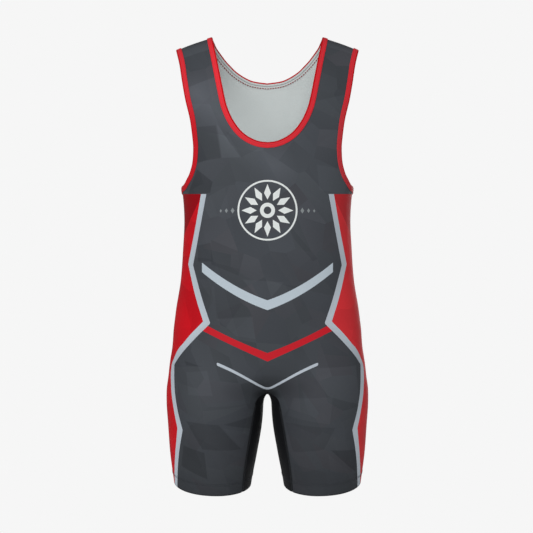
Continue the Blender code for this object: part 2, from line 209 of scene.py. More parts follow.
# Outline of the silver line towards the middle: height, distance from the middle, corner or not.
LINE_INNER = (
    (-0.845, 0.1655, True),
    (-0.800, 0.1630, False),
    (-0.760, 0.1590, False),
    (-0.7135, 0.1508, True),
    (-0.670, 0.1622, False),
    (-0.628, 0.1682, False),
    (-0.601, 0.1693, True),
    (-0.5855, 0.1590, False),
    (-0.560, 0.1372, False),
    (-0.523, 0.1006, True),
    (-0.475, 0.1176, False),
    (-0.4205, 0.1338, True),
    (-0.350, 0.1190, False),
    (-0.290, 0.1063, True),
)
# Outline of the same line towards the red side area.
LINE_OUTER = (
    (-0.845, 0.1725, True),
    (-0.790, 0.1695, False),
    (-0.712, 0.1612, True),
    (-0.680, 0.1683, False),
    (-0.643, 0.1746, False),
    (-0.613, 0.1768, False),
    (-0.590, 0.1705, False),
    (-0.556, 0.1473, False),
    (-0.520, 0.1137, True),
    (-0.468, 0.1310, False),
    (-0.4185, 0.1438, True),
    (-0.350, 0.1286, False),
    (-0.290, 0.1165, True),
)
# Upper and lower edge of a chevron: height in the middle, lean, bend.
SILVER_TOP = (-0.4818, 0.338, 1.94)
SILVER_LOW = (-0.4989, 0.340, 1.95)
SILVER_END = 0.1165   # the silver chevron ends this far from the middle
RED_TOP = (-0.5738, 0.375, 0.62)
RED_LOW = (-0.5886, 0.447, 0.07)
THIN_MIDDLE = (-0.6480, 0.850, -2.70)
THIN_HALF = 0.0023
THIN_REACH = 0.0866
THIN_SOFT = 0.0060    # the tip of the thin chevron is rounded over this distance
THIN_SLANT = 0.85     # its thickness over its height, since it slants

ROSETTE_Z = -0.326
PETALS = 12
PETAL_IN = 0.0185
PETAL_WIDE = 0.0300
PETAL_OUT = 0.0450
PETAL_HALF = 0.0060
HUB_IN = 0.0065
HUB_OUT = 0.0130
HOOP_IN = 0.0490
HOOP_OUT = 0.0520
BEADS = (0.0605, 0.0715, 0.0815)  # lozenges beside the rosette, at these distances
BEAD_SIZE = (0.0050, 0.0040, 0.0030)
BEAD_SHAPE = 1.5      # their height over their width

# Facets of the print, small ones over large ones: size, share of the tone.
FACETS = ((0.056, 0.60), (0.135, 0.40))
PRINT_WRAP = 0.5      # how fast the facets run round the body
FACET_EVEN = 0.78     # how unevenly the facets are spread, from 0 to 1
FACET_SLANT = 0.30    # they lean sideways by this share of their height
FACET_LEAN = 0.55     # how much a facet's tone changes from one side of it to the other
FACET_OWN = 0.65      # share of the tone that a facet doesn't have in common with its twin
FRONT_SHIFT = 0.350   # the front and the back lie on different parts of the pattern
BACK_SHIFT = 1.730
FRONT_CALM = 0.48     # on the front they keep this share of their contrast
# Larger facets laid one by one on the front: share of light, then the corners (x, z) clockwise.
LAID_FACETS = (
    (0.82, (-0.175, -0.045), (-0.100, -0.020), (-0.085, -0.080), (-0.155, -0.105)),
    (0.88, (0.090, -0.010), (0.175, -0.035), (0.155, -0.110), (0.075, -0.135)),
    (0.82, (-0.125, -0.175), (-0.090, -0.175), (-0.080, -0.235), (-0.125, -0.240)),
    (1.20, (-0.090, -0.170), (-0.045, -0.235), (-0.080, -0.235)),
    (0.90, (-0.075, -0.185), (-0.015, -0.220), (-0.045, -0.235)),
    (0.72, (-0.145, -0.295), (-0.125, -0.250), (-0.095, -0.275), (-0.100, -0.295)),
    (1.10, (0.085, -0.245), (0.135, -0.250), (0.150, -0.295), (0.090, -0.290)),
    (0.80, (-0.125, -0.385), (-0.100, -0.380), (-0.095, -0.415), (-0.125, -0.415)),
    (0.85, (-0.100, -0.375), (-0.040, -0.400), (-0.050, -0.440), (-0.100, -0.420)),
    (1.16, (-0.045, -0.445), (0.030, -0.450), (0.005, -0.480), (-0.020, -0.475)),
    (0.91, (-0.095, -0.455), (-0.045, -0.475), (-0.025, -0.510), (-0.090, -0.515)),
    (1.12, (-0.090, -0.515), (-0.025, -0.510), (-0.020, -0.550), (-0.055, -0.545)),
    (0.88, (0.030, -0.340), (0.090, -0.410), (0.080, -0.415), (0.045, -0.375)),
    (0.92, (0.030, -0.455), (0.050, -0.455), (0.080, -0.515), (0.060, -0.525)),
    (1.10, (-0.125, -0.445), (-0.100, -0.445), (-0.100, -0.480)),
    (1.14, (-0.145, -0.610), (-0.105, -0.605), (-0.095, -0.650), (-0.140, -0.650)),
    (0.80, (-0.150, -0.590), (-0.110, -0.600), (-0.145, -0.600)),
    (0.79, (-0.145, -0.695), (-0.085, -0.700), (-0.045, -0.750), (-0.115, -0.745)),
    (0.79, (-0.080, -0.700), (-0.025, -0.690), (-0.030, -0.715)),
    (0.75, (-0.150, -0.740), (-0.110, -0.750), (-0.105, -0.800), (-0.155, -0.780)),
    (1.08, (-0.080, -0.705), (-0.030, -0.720), (-0.045, -0.750)),
    (0.86, (0.030, -0.700), (0.120, -0.705), (0.100, -0.745), (0.045, -0.755)),
    (0.75, (0.110, -0.745), (0.165, -0.750), (0.160, -0.795)),
    (0.92, (0.045, -0.775), (0.105, -0.785), (0.105, -0.810), (0.050, -0.810)),
    (1.08, (0.105, -0.750), (0.155, -0.795), (0.110, -0.785)),
    (1.12, (0.045, -0.655), (0.115, -0.650), (0.110, -0.700), (0.035, -0.690)),
    (1.18, (0.070, -0.600), (0.160, -0.600), (0.165, -0.670), (0.105, -0.650)),
)
LAID_SOFT = 0.0016    # their edges are soft over this distance
# Painted shade round the crotch, a wide soft one and a small deep one: height, flatness, reach, darkest
# share.
GROIN_PAINTED_SHADE = ((-0.640, 3.0, 0.085, 0.72), (-0.655, 2.0, 0.028, 0.30))
GROIN_SHADE_POWER = 1.4     # how quickly those painted shades give way
# A painted highlight, a soft lighter band from a strap to under the neck: start x and z, end x and z, half
# width, gain.
SHINE = (-0.128, -0.112, 0.010, -0.250, 0.042, 0.30)
HEM_SHADE = (0.0040, 0.72)     # height of the painted shade, a darker edge along the hems, and its shade
STRAP_SHADE = (0.006, 0.030, 0.45)  # painted shade on top of the straps: up to this depth, until that one, shade
STRAP_RISE = (-0.060, -0.040)  # that painted shade comes in between these heights
WEDGE = (-0.0943, 1.75)        # the sides are darker over this slanting line: height in the middle, fall
WEDGE_DEEP = 0.95              # how much darker
SIDE_FAINT = (0.65, 0.25, 0.30)  # facets of the sides: tones between which they get deeper, how much
SIDE_HAZE = (0.06, 0.12, 0.80)   # a painted sheen haze makes the wearer's left duller: x where that starts and is full, share
SIDE_HAZE_DEEP = 0.6              # share and shade of the deeper parts under that painted haze
SILVER_BLEND = (0.30, 0.70)    # shares of a silver line's width between which its two tones meet
CHEVRON_UNDER = 0.001          # the red chevron runs this far under the silver lines

# ---------------------------------------------------------------- colours, as linear light
GREY_LIGHT = (0.1000, 0.1090, 0.1260, 1.0)
GREY_DARK = (0.0460, 0.0500, 0.0590, 1.0)
GREY_COOL = (0.0660, 0.0710, 0.0930, 1.0)
GREY_WARM = (0.0790, 0.0710, 0.0790, 1.0)
GREY_GREEN = (0.0640, 0.0770, 0.0820, 1.0)
# Tints of the ground: colour, and the two values of the tint between which it comes in.
TINTS = ((GREY_COOL, 0.70, 0.95), (GREY_WARM, 0.30, 0.05), (GREY_GREEN, 0.32, 0.48))
TINT_SHARE = 0.24
TINT_TONES = (0.80, 1.25)      # shades of a tint on the darkest and on the lightest facet
# The ground gets darker downwards: height where that ends, where it starts, share at the end.
GREY_FALLS = ((-0.840, -0.660, 0.62), (-0.520, -0.300, 0.82))
RED_LIGHT = (0.6600, 0.0060, 0.0140, 1.0)
RED_CHEVRON = (0.6000, 0.0150, 0.0260, 1.0)
RED_DARK = (0.3000, 0.0015, 0.0065, 1.0)
# A paler, duller red for the painted sheen haze on the wearer's left.
RED_HAZED = (0.7600, 0.0440, 0.0520, 1.0)
SILVER = (0.5350, 0.6150, 0.6800, 1.0)
SILVER_WARM = (0.5200, 0.5750, 0.6400, 1.0)
WHITE_INK = (0.8300, 0.8700, 0.8600, 1.0)
BEAD_INK = (0.2600, 0.2850, 0.2950, 1.0)
WRONG_SIDE = (0.6750, 0.7230, 0.7180, 1.0)
# Painted shade where the plies of a binding step.
STEP_SHADE_GREY = (0.3300, 0.3600, 0.3600, 1.0)
BLACK = (0.0075, 0.0080, 0.0095, 1.0)
BINDING_RED = (0.8000, 0.0280, 0.0420, 1.0)
# Painted shade along the fold of a binding.
BINDING_FOLD_SHADE = (0.5400, 0.0030, 0.0060, 1.0)
BINDING_LINE = (0.6400, 0.0520, 0.0660, 1.0)
# Painted shade of the lower armholes, with a painted sheen haze on the wearer's left.
ARM_SHADED = (0.6300, 0.0060, 0.0140, 1.0)
ARM_SHADED_HAZED = (0.5800, 0.0420, 0.0520, 1.0)
ARM_SHADE_FALL = (-0.180, -0.110, 0.85)  # as painted shade, the armhole bindings turn to those two downwards: end, start, share
STUDIO_PALE = (0.9220, 0.9220, 0.9220, 1.0)
THREADS = {
    "red": (0.5000, 0.0300, 0.0400, 1.0),
    "bobbin": (0.3600, 0.0060, 0.0120, 1.0),
    "grey": (0.0420, 0.0460, 0.0510, 1.0),
    "hem": (0.0460, 0.0500, 0.0580, 1.0),
    "black": (0.0100, 0.0100, 0.0120, 1.0),
}


# ---------------------------------------------------------------- the worn form
def along(table, column, height):
    """Smooth value of a table's column at the given heights."""
    heights = table[:, 0]
    values = table[:, column]
    lean = np.gradient(values, heights)
    height = np.clip(height, heights[0], heights[-1])
    i = np.clip(np.searchsorted(heights, height, side="right") - 1, 0, len(heights) - 2)
    step = heights[i + 1] - heights[i]
    t = (height - heights[i]) / step
    start = values[i] * (2 * t**3 - 3 * t**2 + 1) + step * lean[i] * (t**3 - 2 * t**2 + t)
    end = values[i + 1] * (3 * t**2 - 2 * t**3) + step * lean[i + 1] * (t**3 - t**2)
    return start + end


def ring(x, y, half, front, back, power):
    """Below zero inside a rounded section, above zero outside it."""
    depth = np.where(y < 0, front, back)
    reach = (np.abs(x / half) ** power + np.abs(y / depth) ** power) ** (1 / power)
    return (reach - 1) * np.minimum(half, (front + back) / 2)


def join(a, b, blend):
    """Both shapes together, with a soft valley between them."""
    h = np.maximum(blend - np.abs(a - b), 0) / blend
    return np.minimum(a, b) - h * h * blend * 0.25


def trim(a, b, blend):
    """What both shapes share, with a soft edge."""
    return -join(-a, -b, blend)


def form(p):
    """Below zero inside the worn shape, zero on the outer face of the cloth."""
    x, y, z = p[..., 0], p[..., 1], p[..., 2]
    trunk = ring(x, y, along(TRUNK, 1, z), along(TRUNK, 2, z), along(TRUNK, 3, z), TRUNK_POWER)
    roof = (z - RIDGE_Z + RIDGE_FALL * (np.abs(x) - RIDGE_X)) / np.hypot(1, RIDGE_FALL)
    trunk = trim(trunk, roof, SHOULDER_BLEND)
    trunk = trim(trunk, CROTCH_Z - z, CROTCH_BLEND)
    aside = np.abs(x) - along(LEG, 1, z)
    leg = ring(aside, y, along(LEG, 2, z), along(LEG, 3, z), along(LEG, 4, z), LEG_POWER)
    leg = trim(leg, z - LEG_TOP, LEG_TOP_BLEND)
    return join(trunk, leg, GROIN_BLEND)


def outward(p):
    """Unit normals of the form."""
    tiny = 1e-5
    parts = []
    for axis in range(3):
        move = np.zeros(3)
        move[axis] = tiny
        parts.append((form(p + move) - form(p - move)) / (2 * tiny))
    n = np.stack(parts, -1)
    return n / np.linalg.norm(n, axis=-1, keepdims=True)


def settle(p):
    """Points moved the short way onto the form."""
    p = np.array(p, float)
    for _ in range(SETTLE_STEPS):
        n = outward(p)
        p = p - n * form(p)[..., None]
    return p


def cast(root, way):
    """Where rays that start inside the form leave it. A ray stops at the garment's middle."""
    near = np.zeros(way.shape[:-1])
    far = np.full(way.shape[:-1], RAY_REACH)
    inward = (way[..., 0] < -TINY) & (root[..., 0] > TINY)
    to_middle = -root[..., 0] / np.where(inward, way[..., 0], -1.0)
    far = np.where(inward, np.minimum(far, to_middle), far)
    for _ in range(HALVINGS):
        middle = (near + far) / 2
        inside = form(root + way * middle[..., None]) < 0
        near = np.where(inside, middle, near)
        far = np.where(inside, far, middle)
    return root + way * near[..., None]


def unit(v):
    return v / np.linalg.norm(v, axis=-1, keepdims=True)


def smooth_step(t):
    t = np.clip(t, 0, 1)
    return t * t * (3 - 2 * t)


def root_of(p):
    """The point inside the form from which a point of the cloth is seen squarely."""
    x, z = p[..., 0], p[..., 2]
    leg = along(LEG, 1, z) * smooth_step((LEG_TOP - z) / LEG_ROOT_OVER)
    share, start, over = STRAP_ROOT
    strap = share * x * smooth_step((z - start) / over)
    return np.stack([leg + strap, np.zeros_like(x), np.minimum(z, ROOT_TOP)], -1)


def swing(a, b, t):
    """Unit directions turned evenly from a to b."""
    angle = np.arccos(np.clip((a * b).sum(-1), -1, 1))
    t = t[:, None]
    return unit(np.sin((1 - t) * angle) * a + np.sin(t * angle) * b)


def row(start, end, columns):
    """Points laid on the form from one point of the cloth to another."""
    t = np.linspace(0, 1, columns + 1)
    a, b = root_of(start), root_of(end)
    ways = swing(unit(start - a), unit(end - b), t)
    points = cast(a + (b - a) * t[:, None], ways)
    points[0], points[-1] = start, end
    return points


def curve(table, count):
    """A smooth line through a table's points, laid on the form in equal steps."""
    p = np.array(table, float)
    q = np.vstack([2 * p[0] - p[1], p, 2 * p[-1] - p[-2]])
    t = np.linspace(0, 1, CURVE_STEPS, endpoint=False)[:, None]
    fine = []
    for i in range(1, len(q) - 2):
        a, b, c, d = q[i - 1], q[i], q[i + 1], q[i + 2]
        bend = 2 * b + (c - a) * t + (2 * a - 5 * b + 4 * c - d) * t**2 + (3 * b - a - 3 * c + d) * t**3
        fine.append(bend / 2)
    fine = np.vstack(fine + [p[-1:]])
    run = running(fine)
    even = np.linspace(0, run[-1], count + 1)
    return settle(at_distance(fine, run, even))


def running(line):
    """Distance run along a line at each of its points."""
    return np.append(0, np.cumsum(np.linalg.norm(np.diff(line, axis=0), axis=1)))


def at_distance(line, run, distance):
    return np.stack([np.interp(distance, run, line[:, k]) for k in range(3)], -1)


def heading(line):
    return unit(np.gradient(line, axis=0))


def moved_over(line, distance, side):
    """A line moved sideways on the form. The side is +1 for the left of its run, seen from outside."""
    across = np.cross(outward(line), heading(line)) * side
    return settle(line + across * distance)


def flip_y(table):
    return table * np.array([1, -1, 1])


def flip_x(points):
    return points * np.array([-1, 1, 1])


# ---------------------------------------------------------------- lines of the pattern
def hem_height(x):
    return HEM_Z + HEM_TILT * (np.abs(x) - LEG_X)


def hem_line(start, end, columns, turn):
    """The hem between two points, round the leg."""
    first = np.arctan2(start[1], start[0] - LEG_X)
    last = np.arctan2(end[1], end[0] - LEG_X)
    if turn > 0 and last < first:
        last += 2 * pi
    if turn < 0 and last > first:
        last -= 2 * pi
    angle = np.linspace(first, last, columns + 1)
    way = np.stack([np.cos(angle), np.sin(angle), np.zeros_like(angle)], -1)
    height = np.full(columns + 1, HEM_Z)
    for _ in range(HEM_STEPS):
        root = np.stack([np.full_like(angle, LEG_X), np.zeros_like(angle), height], -1)
        points = cast(root, way)
        height = hem_height(points[:, 0])
    points[:, 2] = height
    return points


def side_seam():
    """The seam under the arm, from the hem to the armhole."""
    leg = np.linspace(HEM_Z, SIDE_AT_CROTCH, LEG_ROWS + 1)
    body = np.linspace(SIDE_AT_CROTCH, UNDERARM_Z - FOLD, BODY_ROWS + 1)
    z = np.append(leg, body[1:])
    way = np.tile([1.0, 0.0, 0.0], (len(z), 1))
    for _ in range(HEM_STEPS):
        root = np.stack([root_of(np.stack([0 * z, 0 * z, z], -1))[:, 0], 0 * z, z], -1)
        points = cast(root, way)
        z[0] = hem_height(points[0, 0])
    return points


def shifted_edge(line, distance, side, flat_start, flat_end):
    """A finished edge moved into the panel, with its ends kept on the planes they meet."""
    moved = moved_over(line, distance, side)
    moved[0, flat_start] = 0.0
    moved[-1, flat_end] = 0.0
    return settle(moved)


def pattern_of(face):
    """Every seam and edge of the front (face -1) or the back (face +1), on the wearer's left."""
    if face < 0:
        tables, neck_rows = (NECK_FRONT, ARMHOLE, THIGH_SEAM), FRONT_NECK_ROWS
    else:
        tables, neck_rows = (NECK_BACK, flip_y(ARMHOLE), flip_y(THIGH_SEAM)), BACK_NECK_ROWS
    neck, arm, thigh = curve(tables[0], neck_rows), curve(tables[1], ARM_ROWS), curve(tables[2], LEG_ROWS)
    thigh[0, 2] = hem_height(thigh[0, 0])
    thigh[-1, 0] = 0.0
    return {"neck": neck, "arm": arm, "thigh": thigh, "neck_rows": neck_rows}


def centre_line(low, high, upper_rows):
    """The middle of the front or back, from the crotch to the neck."""
    body = np.linspace(low[2], CHEST_Z, BODY_ROWS + 1)
    chest = np.linspace(CHEST_Z, high[2], upper_rows + 1)
    z = np.append(body, chest[1:])
    root = np.stack([0 * z, 0 * z, z], -1)
    points = cast(root, np.tile([0.0, np.sign(low[1]), 0.0], (len(z), 1)))
    points[0], points[-1] = low, high
    return points


# ---------------------------------------------------------------- cloth
def crease_depth(points, face):
    """How far the stretched cloth dips at each point."""
    depth = np.zeros(points.shape[:-1])
    flat = np.stack([np.abs(points[..., 0]), points[..., 2]], -1)
    for x0, z0, x1, z1, half, deep, side in CREASES:
        if side != face:
            continue
        start, run = np.array([x0, z0]), np.array([x1 - x0, z1 - z0])
        t = ((flat - start) @ run) / (run @ run)
        near = start + np.clip(t, 0, 1)[..., None] * run
        away = np.linalg.norm(flat - near, axis=-1)
        fade = smooth_step(t / CREASE_IN) * smooth_step((1 - t) / CREASE_OUT)
        depth += deep * np.exp(-((away / half) ** 2)) * fade
    return depth


def between(grid, axis, share):
    """One more line of points just before the last line of a grid."""
    g = np.swapaxes(grid, 0, axis)
    extra = settle(g[-2] * (1 - share) + g[-1] * share)
    g = np.concatenate([g[:-1], extra[None], g[-1:]])
    return np.swapaxes(g, 0, axis)


def near_seam(grid, axis):
    """Lines of points beside the last line of a grid, so that the cloth can turn in there."""
    step = np.linalg.norm(np.take(grid, -1, axis) - np.take(grid, -2, axis), axis=-1).mean()
    return between(grid, axis, 1 - SEAM_ROLL / step)


def half_panel(face, pattern, side):
    """The grid of one half: the hem is its first row, the shoulder seam its last."""
    neck = shifted_edge(pattern["neck"], FOLD, face, 0, 1)
    arm = shifted_edge(pattern["arm"], FOLD, -face, 1, 1)
    upper_rows = ARM_ROWS - pattern["neck_rows"]
    centre = centre_line(pattern["thigh"][-1], neck[0], upper_rows)
    inner = np.vstack([pattern["thigh"], centre[1:], neck[1:]])
    outer = np.vstack([side, arm[1:]])
    rows = [hem_line(inner[0], outer[0], COLUMNS, -face)]
    rows[0][0], rows[0][-1] = inner[0], outer[0]
    for start, end in zip(inner[1:], outer[1:]):
        rows.append(row(start, end, COLUMNS))
    grid = np.array(rows)
    grid = near_seam(grid, 1)
    grid = np.swapaxes(near_seam(np.swapaxes(grid[:, ::-1], 0, 1), 0), 0, 1)[:, ::-1]
    return near_seam(grid, 0)


def cloth_map(grid):
    """Distances across and up the cloth at each point, for the knit and the print."""
    x, y, z = grid[..., 0], grid[..., 1], grid[..., 2]
    turned = WRAP_FROM - np.abs(y)
    fast, start, over = TOP_WRAP
    up = z + fast * turned * smooth_step((z - start) / over)
    return np.stack([x * (1 + WRAP * turned), up], -1)


def wall_of(grid):
    """The thickness of the cloth at each point: twice as thick where the hem is turned in."""
    over_hem = grid[..., 2] - hem_height(grid[..., 0])
    return np.where(over_hem < HEM_TURN, 2 * CLOTH, CLOTH)


def grid_quads(rows, columns):
    number = np.arange(rows * columns).reshape(rows, columns)
    corners = (number[:-1, :-1], number[:-1, 1:], number[1:, 1:], number[1:, :-1])
    return np.stack(corners, -1).reshape(-1, 4)


def mirrored(points, quads, marks):
    """The half together with its mirror image, welded where it touches the middle."""
    middle = np.abs(points[:, 0]) < WELD
    twin = np.where(middle, np.arange(len(points)), len(points) + np.cumsum(~middle) - 1)
    both = np.vstack([points, flip_x(points[~middle])])
    both_marks = {}
    for name, values in marks.items():
        other = values[~middle]
        if name == "map":
            other = other * np.array([-1, 1])
        both_marks[name] = np.concatenate([values, other])
    return both, np.vstack([quads, twin[quads[:, ::-1]]]), both_marks


def doubled(points, quads, marks):
    """A closed sheet of cloth: its outer face, its inner face and the cut edge between them."""
    count = len(points)
    normal = outward(points)
    outer = points - normal * marks["dip"][:, None]
    inner = outer - normal * marks["wall"][:, None]
    sides = np.vstack([quads[:, [k, (k + 1) % 4]] for k in range(4)])
    key = sides[:, 0] * count + sides[:, 1]
    open_side = ~np.isin(sides[:, 1] * count + sides[:, 0], key)
    a, b = sides[open_side].T
    rim = np.stack([b, a, count + a, count + b], -1)
    faces = np.vstack([quads, count + quads[:, ::-1], rim])
    kinds = np.repeat([0, 1, 1], [len(quads), len(quads), len(rim)])
    return np.vstack([outer, inner]), faces, kinds, np.vstack([marks["map"], marks["map"]])


def make_piece(name, points, faces, kinds, cloth, materials, node=None):
    """A mesh object that rides on the garment's one body."""
    if signed_volume(points, faces) < 0:
        faces = faces[:, ::-1]
    mesh = bpy.data.meshes.new(name)
    mesh.from_pydata(points.tolist(), [], faces.tolist())
    for material in materials:
        mesh.materials.append(material)
    mesh.polygons.foreach_set("material_index", np.asarray(kinds, dtype=np.int32))
    corner = np.zeros(len(mesh.loops), dtype=np.int32)
    mesh.loops.foreach_get("vertex_index", corner)
    layer = mesh.uv_layers.new(name="cloth")
    layer.data.foreach_set("uv", cloth[corner].astype(np.float32).ravel())
    mesh.shade_smooth()
    mesh.set_sharp_from_angle(angle=SHARP_ANGLE)
    mesh.validate()
    piece = bpy.data.objects.new(name, mesh)
    bpy.context.scene.collection.objects.link(piece)
    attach(piece, "root")
    if node:
        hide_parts(node)
    return piece


def signed_volume(points, faces):
    a, b, c, d = (points[faces[:, k]] for k in range(4))
    first = np.einsum("ij,ij->i", a, np.cross(b, c)).sum()
    return first + np.einsum("ij,ij->i", a, np.cross(c, d)).sum()


def panel(name, face, pattern, side, materials, node):
    """The front or the back, both halves in one piece."""
    grid = half_panel(face, pattern, side)
    rows, columns = grid.shape[:2]
    up, out = np.indices((rows, columns))
    leg = up <= LEG_ROWS
    seam = (out == columns - 1) & (up <= LEG_ROWS + BODY_ROWS)
    seam |= (out == 0) & leg
    seam |= up == rows - 1
    dip = crease_depth(grid, face) + np.where(seam, SEAM_DIP, 0)
    cloth, wall = cloth_map(grid), wall_of(grid)
    grid[:LEG_ROWS + 1, 0] += unit(grid[:LEG_ROWS + 1, 1] - grid[:LEG_ROWS + 1, 0]) * SEAM_GAP / 2
    grid[LEG_ROWS, 0, 0] = 0.0
    at_side = np.abs(grid[..., 1]) < TINY
    grid[..., 1] = np.where(at_side, face * SEAM_GAP / 2, grid[..., 1])
    marks = {"dip": dip.ravel(), "wall": wall.ravel(), "map": cloth.reshape(-1, 2)}
    points, quads, marks = mirrored(grid.reshape(-1, 3), grid_quads(rows, columns), marks)
    return make_piece(name, *doubled(points, quads, marks), materials, node)


def thigh(name, sign, front, back, materials, node):
    """The inside of one leg, between its front seam, its back seam and the crotch seam."""
    t = np.linspace(0, 1, THIGH_COLUMNS + 1)
    v, u = np.linspace(0, 1, LEG_ROWS + 1)[:, None, None], t[None, :, None]
    hem = hem_line(front[0], back[0], THIGH_COLUMNS, -1)
    root = np.array(CROTCH_ROOT)
    ways = swing(unit(front[-1] - root), unit(back[-1] - root), t)
    top = cast(np.tile(root, (len(t), 1)), ways)
    grid = (1 - v) * hem[None] + v * top[None] + (1 - u) * front[:, None] + u * back[:, None]
    grid = grid - (1 - v) * ((1 - u) * hem[0] + u * hem[-1]) - v * ((1 - u) * top[0] + u * top[-1])
    grid[1:-1, 1:-1] = settle(grid[1:-1, 1:-1])
    grid[:, 0] += unit(grid[:, 1] - grid[:, 0]) * SEAM_GAP / 2
    grid[:, -1] += unit(grid[:, -2] - grid[:, -1]) * SEAM_GAP / 2
    grid[-1, :, 0] = SEAM_GAP / 2
    rows, columns = grid.shape[:2]
    up, out = np.indices((rows, columns))
    seam = (out == 0) | (out == columns - 1) | (up == rows - 1)
    marks = {"dip": np.where(seam, SEAM_DIP, 0).ravel(), "wall": wall_of(grid).ravel()}
    marks["map"] = grid[..., 1:].reshape(-1, 2)
    points, faces, kinds, uv = doubled(grid.reshape(-1, 3), grid_quads(rows, columns), marks)
    return make_piece(name, points * np.array([sign, 1, 1]), faces, kinds, uv, materials, node)


# ---------------------------------------------------------------- bindings
# Outer ply of a binding: share of its width from the raw edge into the panel, share of the crown.
BAND_OUTER = (
    (1.00, -1.0),
    (0.97, 0.0),
    (0.91, 0.4),
    (0.84, 0.1),
    (0.76, 0.7),
    (0.61, 1.0),
    (0.51, 0.8),
    (0.44, 0.3),
    (0.37, 0.8),
    (0.22, 1.0),
    (0.08, 0.8),
)
BAND_INNER = (0.10, 0.32, 0.48, 0.56, 0.64, 0.82, 1.00)
NEEDLE_ROWS = (0.84, 0.44)  # where the rows of stitches run, as shares of the width
BOBBIN_ROW = 1.00
FOLD_STEPS = 7
BAND_TOP = SEAM_GAP + BAND_T           # outer face of a binding over the form
BAND_LOW = -CLOTH - SEAM_GAP - BAND_T  # its inner face
HIDDEN_RUN = (0.030, 0.032)            # where the faces between the plies lie on the map of the strip
LOOP_STEP = 0.004     # spacing of the points round an edge
MOVE_STEP = 0.003     # edges are moved over the form in steps of about this length


def neck_loop(front, back):
    """The finished neck edge, once round, with the side on which its panels lie."""
    left = np.vstack([front["neck"], back["neck"][-2::-1]])
    return np.vstack([left, flip_x(left[-2:0:-1])])


def arm_loop(front, back):
    return np.vstack([front["arm"], back["arm"][-2:0:-1]])


def even_loop(loop, step):
    """A closed line in equal steps, laid on the form."""
    closed = np.vstack([loop, loop[:1]])
    run = running(closed)
    count = int(round(run[-1] / step))
    return settle(at_distance(closed, run, np.linspace(0, run[-1], count, endpoint=False)))


def loop_heading(loop):
    return unit(np.roll(loop, -1, 0) - np.roll(loop, 1, 0))


def beside_loop(loop, distance, side):
    """A closed line moved into the panel along the form."""
    moved = loop
    steps = max(1, int(round(distance / MOVE_STEP)))
    for _ in range(steps):
        across = np.cross(outward(moved), loop_heading(moved)) * side
        moved = settle(moved + across * distance / steps)
    return moved


def band_lines(raw, width, side):
    """The lines along a binding in order round its section, and the place of each on the strip's map."""
    n_raw = outward(raw)
    over = -np.cross(n_raw, loop_heading(raw)) * side
    middle, half = (BAND_TOP + BAND_LOW) / 2, (BAND_TOP - BAND_LOW) / 2
    lines, run = [], []
    for share, crown in BAND_OUTER:
        base = beside_loop(raw, width * share, side)
        lines.append(base + outward(base) * (BAND_TOP + BAND_CROWN * crown))
        run.append(width * (1 - share))
    for k in range(FOLD_STEPS):
        angle = pi * (k + 0.5) / FOLD_STEPS
        lines.append(raw + n_raw * (middle + half * np.cos(angle)) + over * FOLD * np.sin(angle))
        run.append(width + half * (angle / 2 + 0.5))
    for share in BAND_INNER:
        base = beside_loop(raw, width * share, side)
        lines.append(base + outward(base) * BAND_LOW)
        run.append(width * (1 + share) + BAND_THROUGH)
    last = beside_loop(raw, width, side)
    n_last = outward(last)
    lines += [
        last + n_last * (BAND_LOW + BAND_T),
        raw + n_raw * (BAND_LOW + BAND_T) + over * SEAM_GAP,
        raw + n_raw * SEAM_GAP + over * SEAM_GAP,
        last + n_last * SEAM_GAP,
    ]
    run += [run[-1] + BAND_T, *HIDDEN_RUN, 0.0]
    return lines, run


def binding(name, loop, side, width, materials, node):
    """A strip folded over a closed edge, with one crowned ply outside and one ply inside."""
    raw = beside_loop(loop, FOLD, side)
    lines, run = band_lines(raw, width, side)
    sides, count = len(lines), len(raw)
    points = np.stack(lines, 1).reshape(-1, 3)
    station, line = np.divmod(np.arange(count * sides), sides)
    number = station * sides + line
    after_line = station * sides + (line + 1) % sides
    after_both = (station + 1) % count * sides + (line + 1) % sides
    after_station = (station + 1) % count * sides + line
    faces = np.stack([number, after_line, after_both, after_station], -1)
    inner_from = len(BAND_OUTER) + FOLD_STEPS
    kinds = ((line >= inner_from) & (line < sides - 1)).astype(int)
    length = running(np.vstack([raw, raw[:1]]))[:-1]
    cloth = np.stack([np.repeat(length, sides), np.tile(run, count)], -1)
    return make_piece(name, points, faces, kinds, cloth, materials, node)


# ---------------------------------------------------------------- sewing
THREAD = 0.00042      # half thickness of a stitch
BOLD_THREAD = 0.00060
BOBBIN_THREAD = 0.00110
THREAD_SIDES = 5
# Rings of a stitch: share of its length, then lift and width as shares of its half thickness.
STITCH_RINGS = ((0.0, -0.5, 0.6), (0.25, 0.55, 1.0), (0.75, 0.55, 1.0), (1.0, -0.5, 0.6))
STITCH_ROUND = 0.7    # this scales the width of every ring
# Pitch and length of each kind of stitch.
NEEDLE_STITCH = (0.0034, 0.0026)
BOBBIN_STITCH = (0.0052, 0.0038)
SHOULDER_STITCH = (0.0024, 0.0020)
SEAM_STITCH = (0.0026, 0.0021)
COVER_STITCH = (0.0026, 0.0024)
HEM_STITCH = (0.0030, 0.0023)
THREAD_LIFT = 0.0001  # threads lie this far over the cloth
COVER_LIFT = 0.0002
SHOULDER_LIFT = 0.0003
SEAM_NEEDLES = 0.95   # a flat seam's needle rows and its cover thread reach this share of its width
COVER_REACH = 0.90
COVER_STEP = 0.0017   # the cover thread crosses the seam once in this distance
SHOULDER_ROWS = (-0.0012, 0.0, 0.0012)  # rows of the shoulder seam, beside its middle
SEAM_FROM = 0.002     # seams start this far over the hem
CROTCH_END = 0.040    # this much of a thigh seam is sewn with the crotch
MIDDLE_GAP = 0.006    # and ends this far before the middle
CROTCH_SAG = 0.010    # the crotch seam is sought this far under the straight way between its ends
HEM_ROW = 0.019       # height of the hem's lower row of stitches over its edge
HEM_ROWS_APART = 0.0028
SHOULDER_POINTS = 24
CROTCH_POINTS = 20
HEM_POINTS = 40       # along a hem, from the inner seam to the side seam
THIGH_POINTS = 16
FEWEST_POINTS = 8     # a seam has at least this many


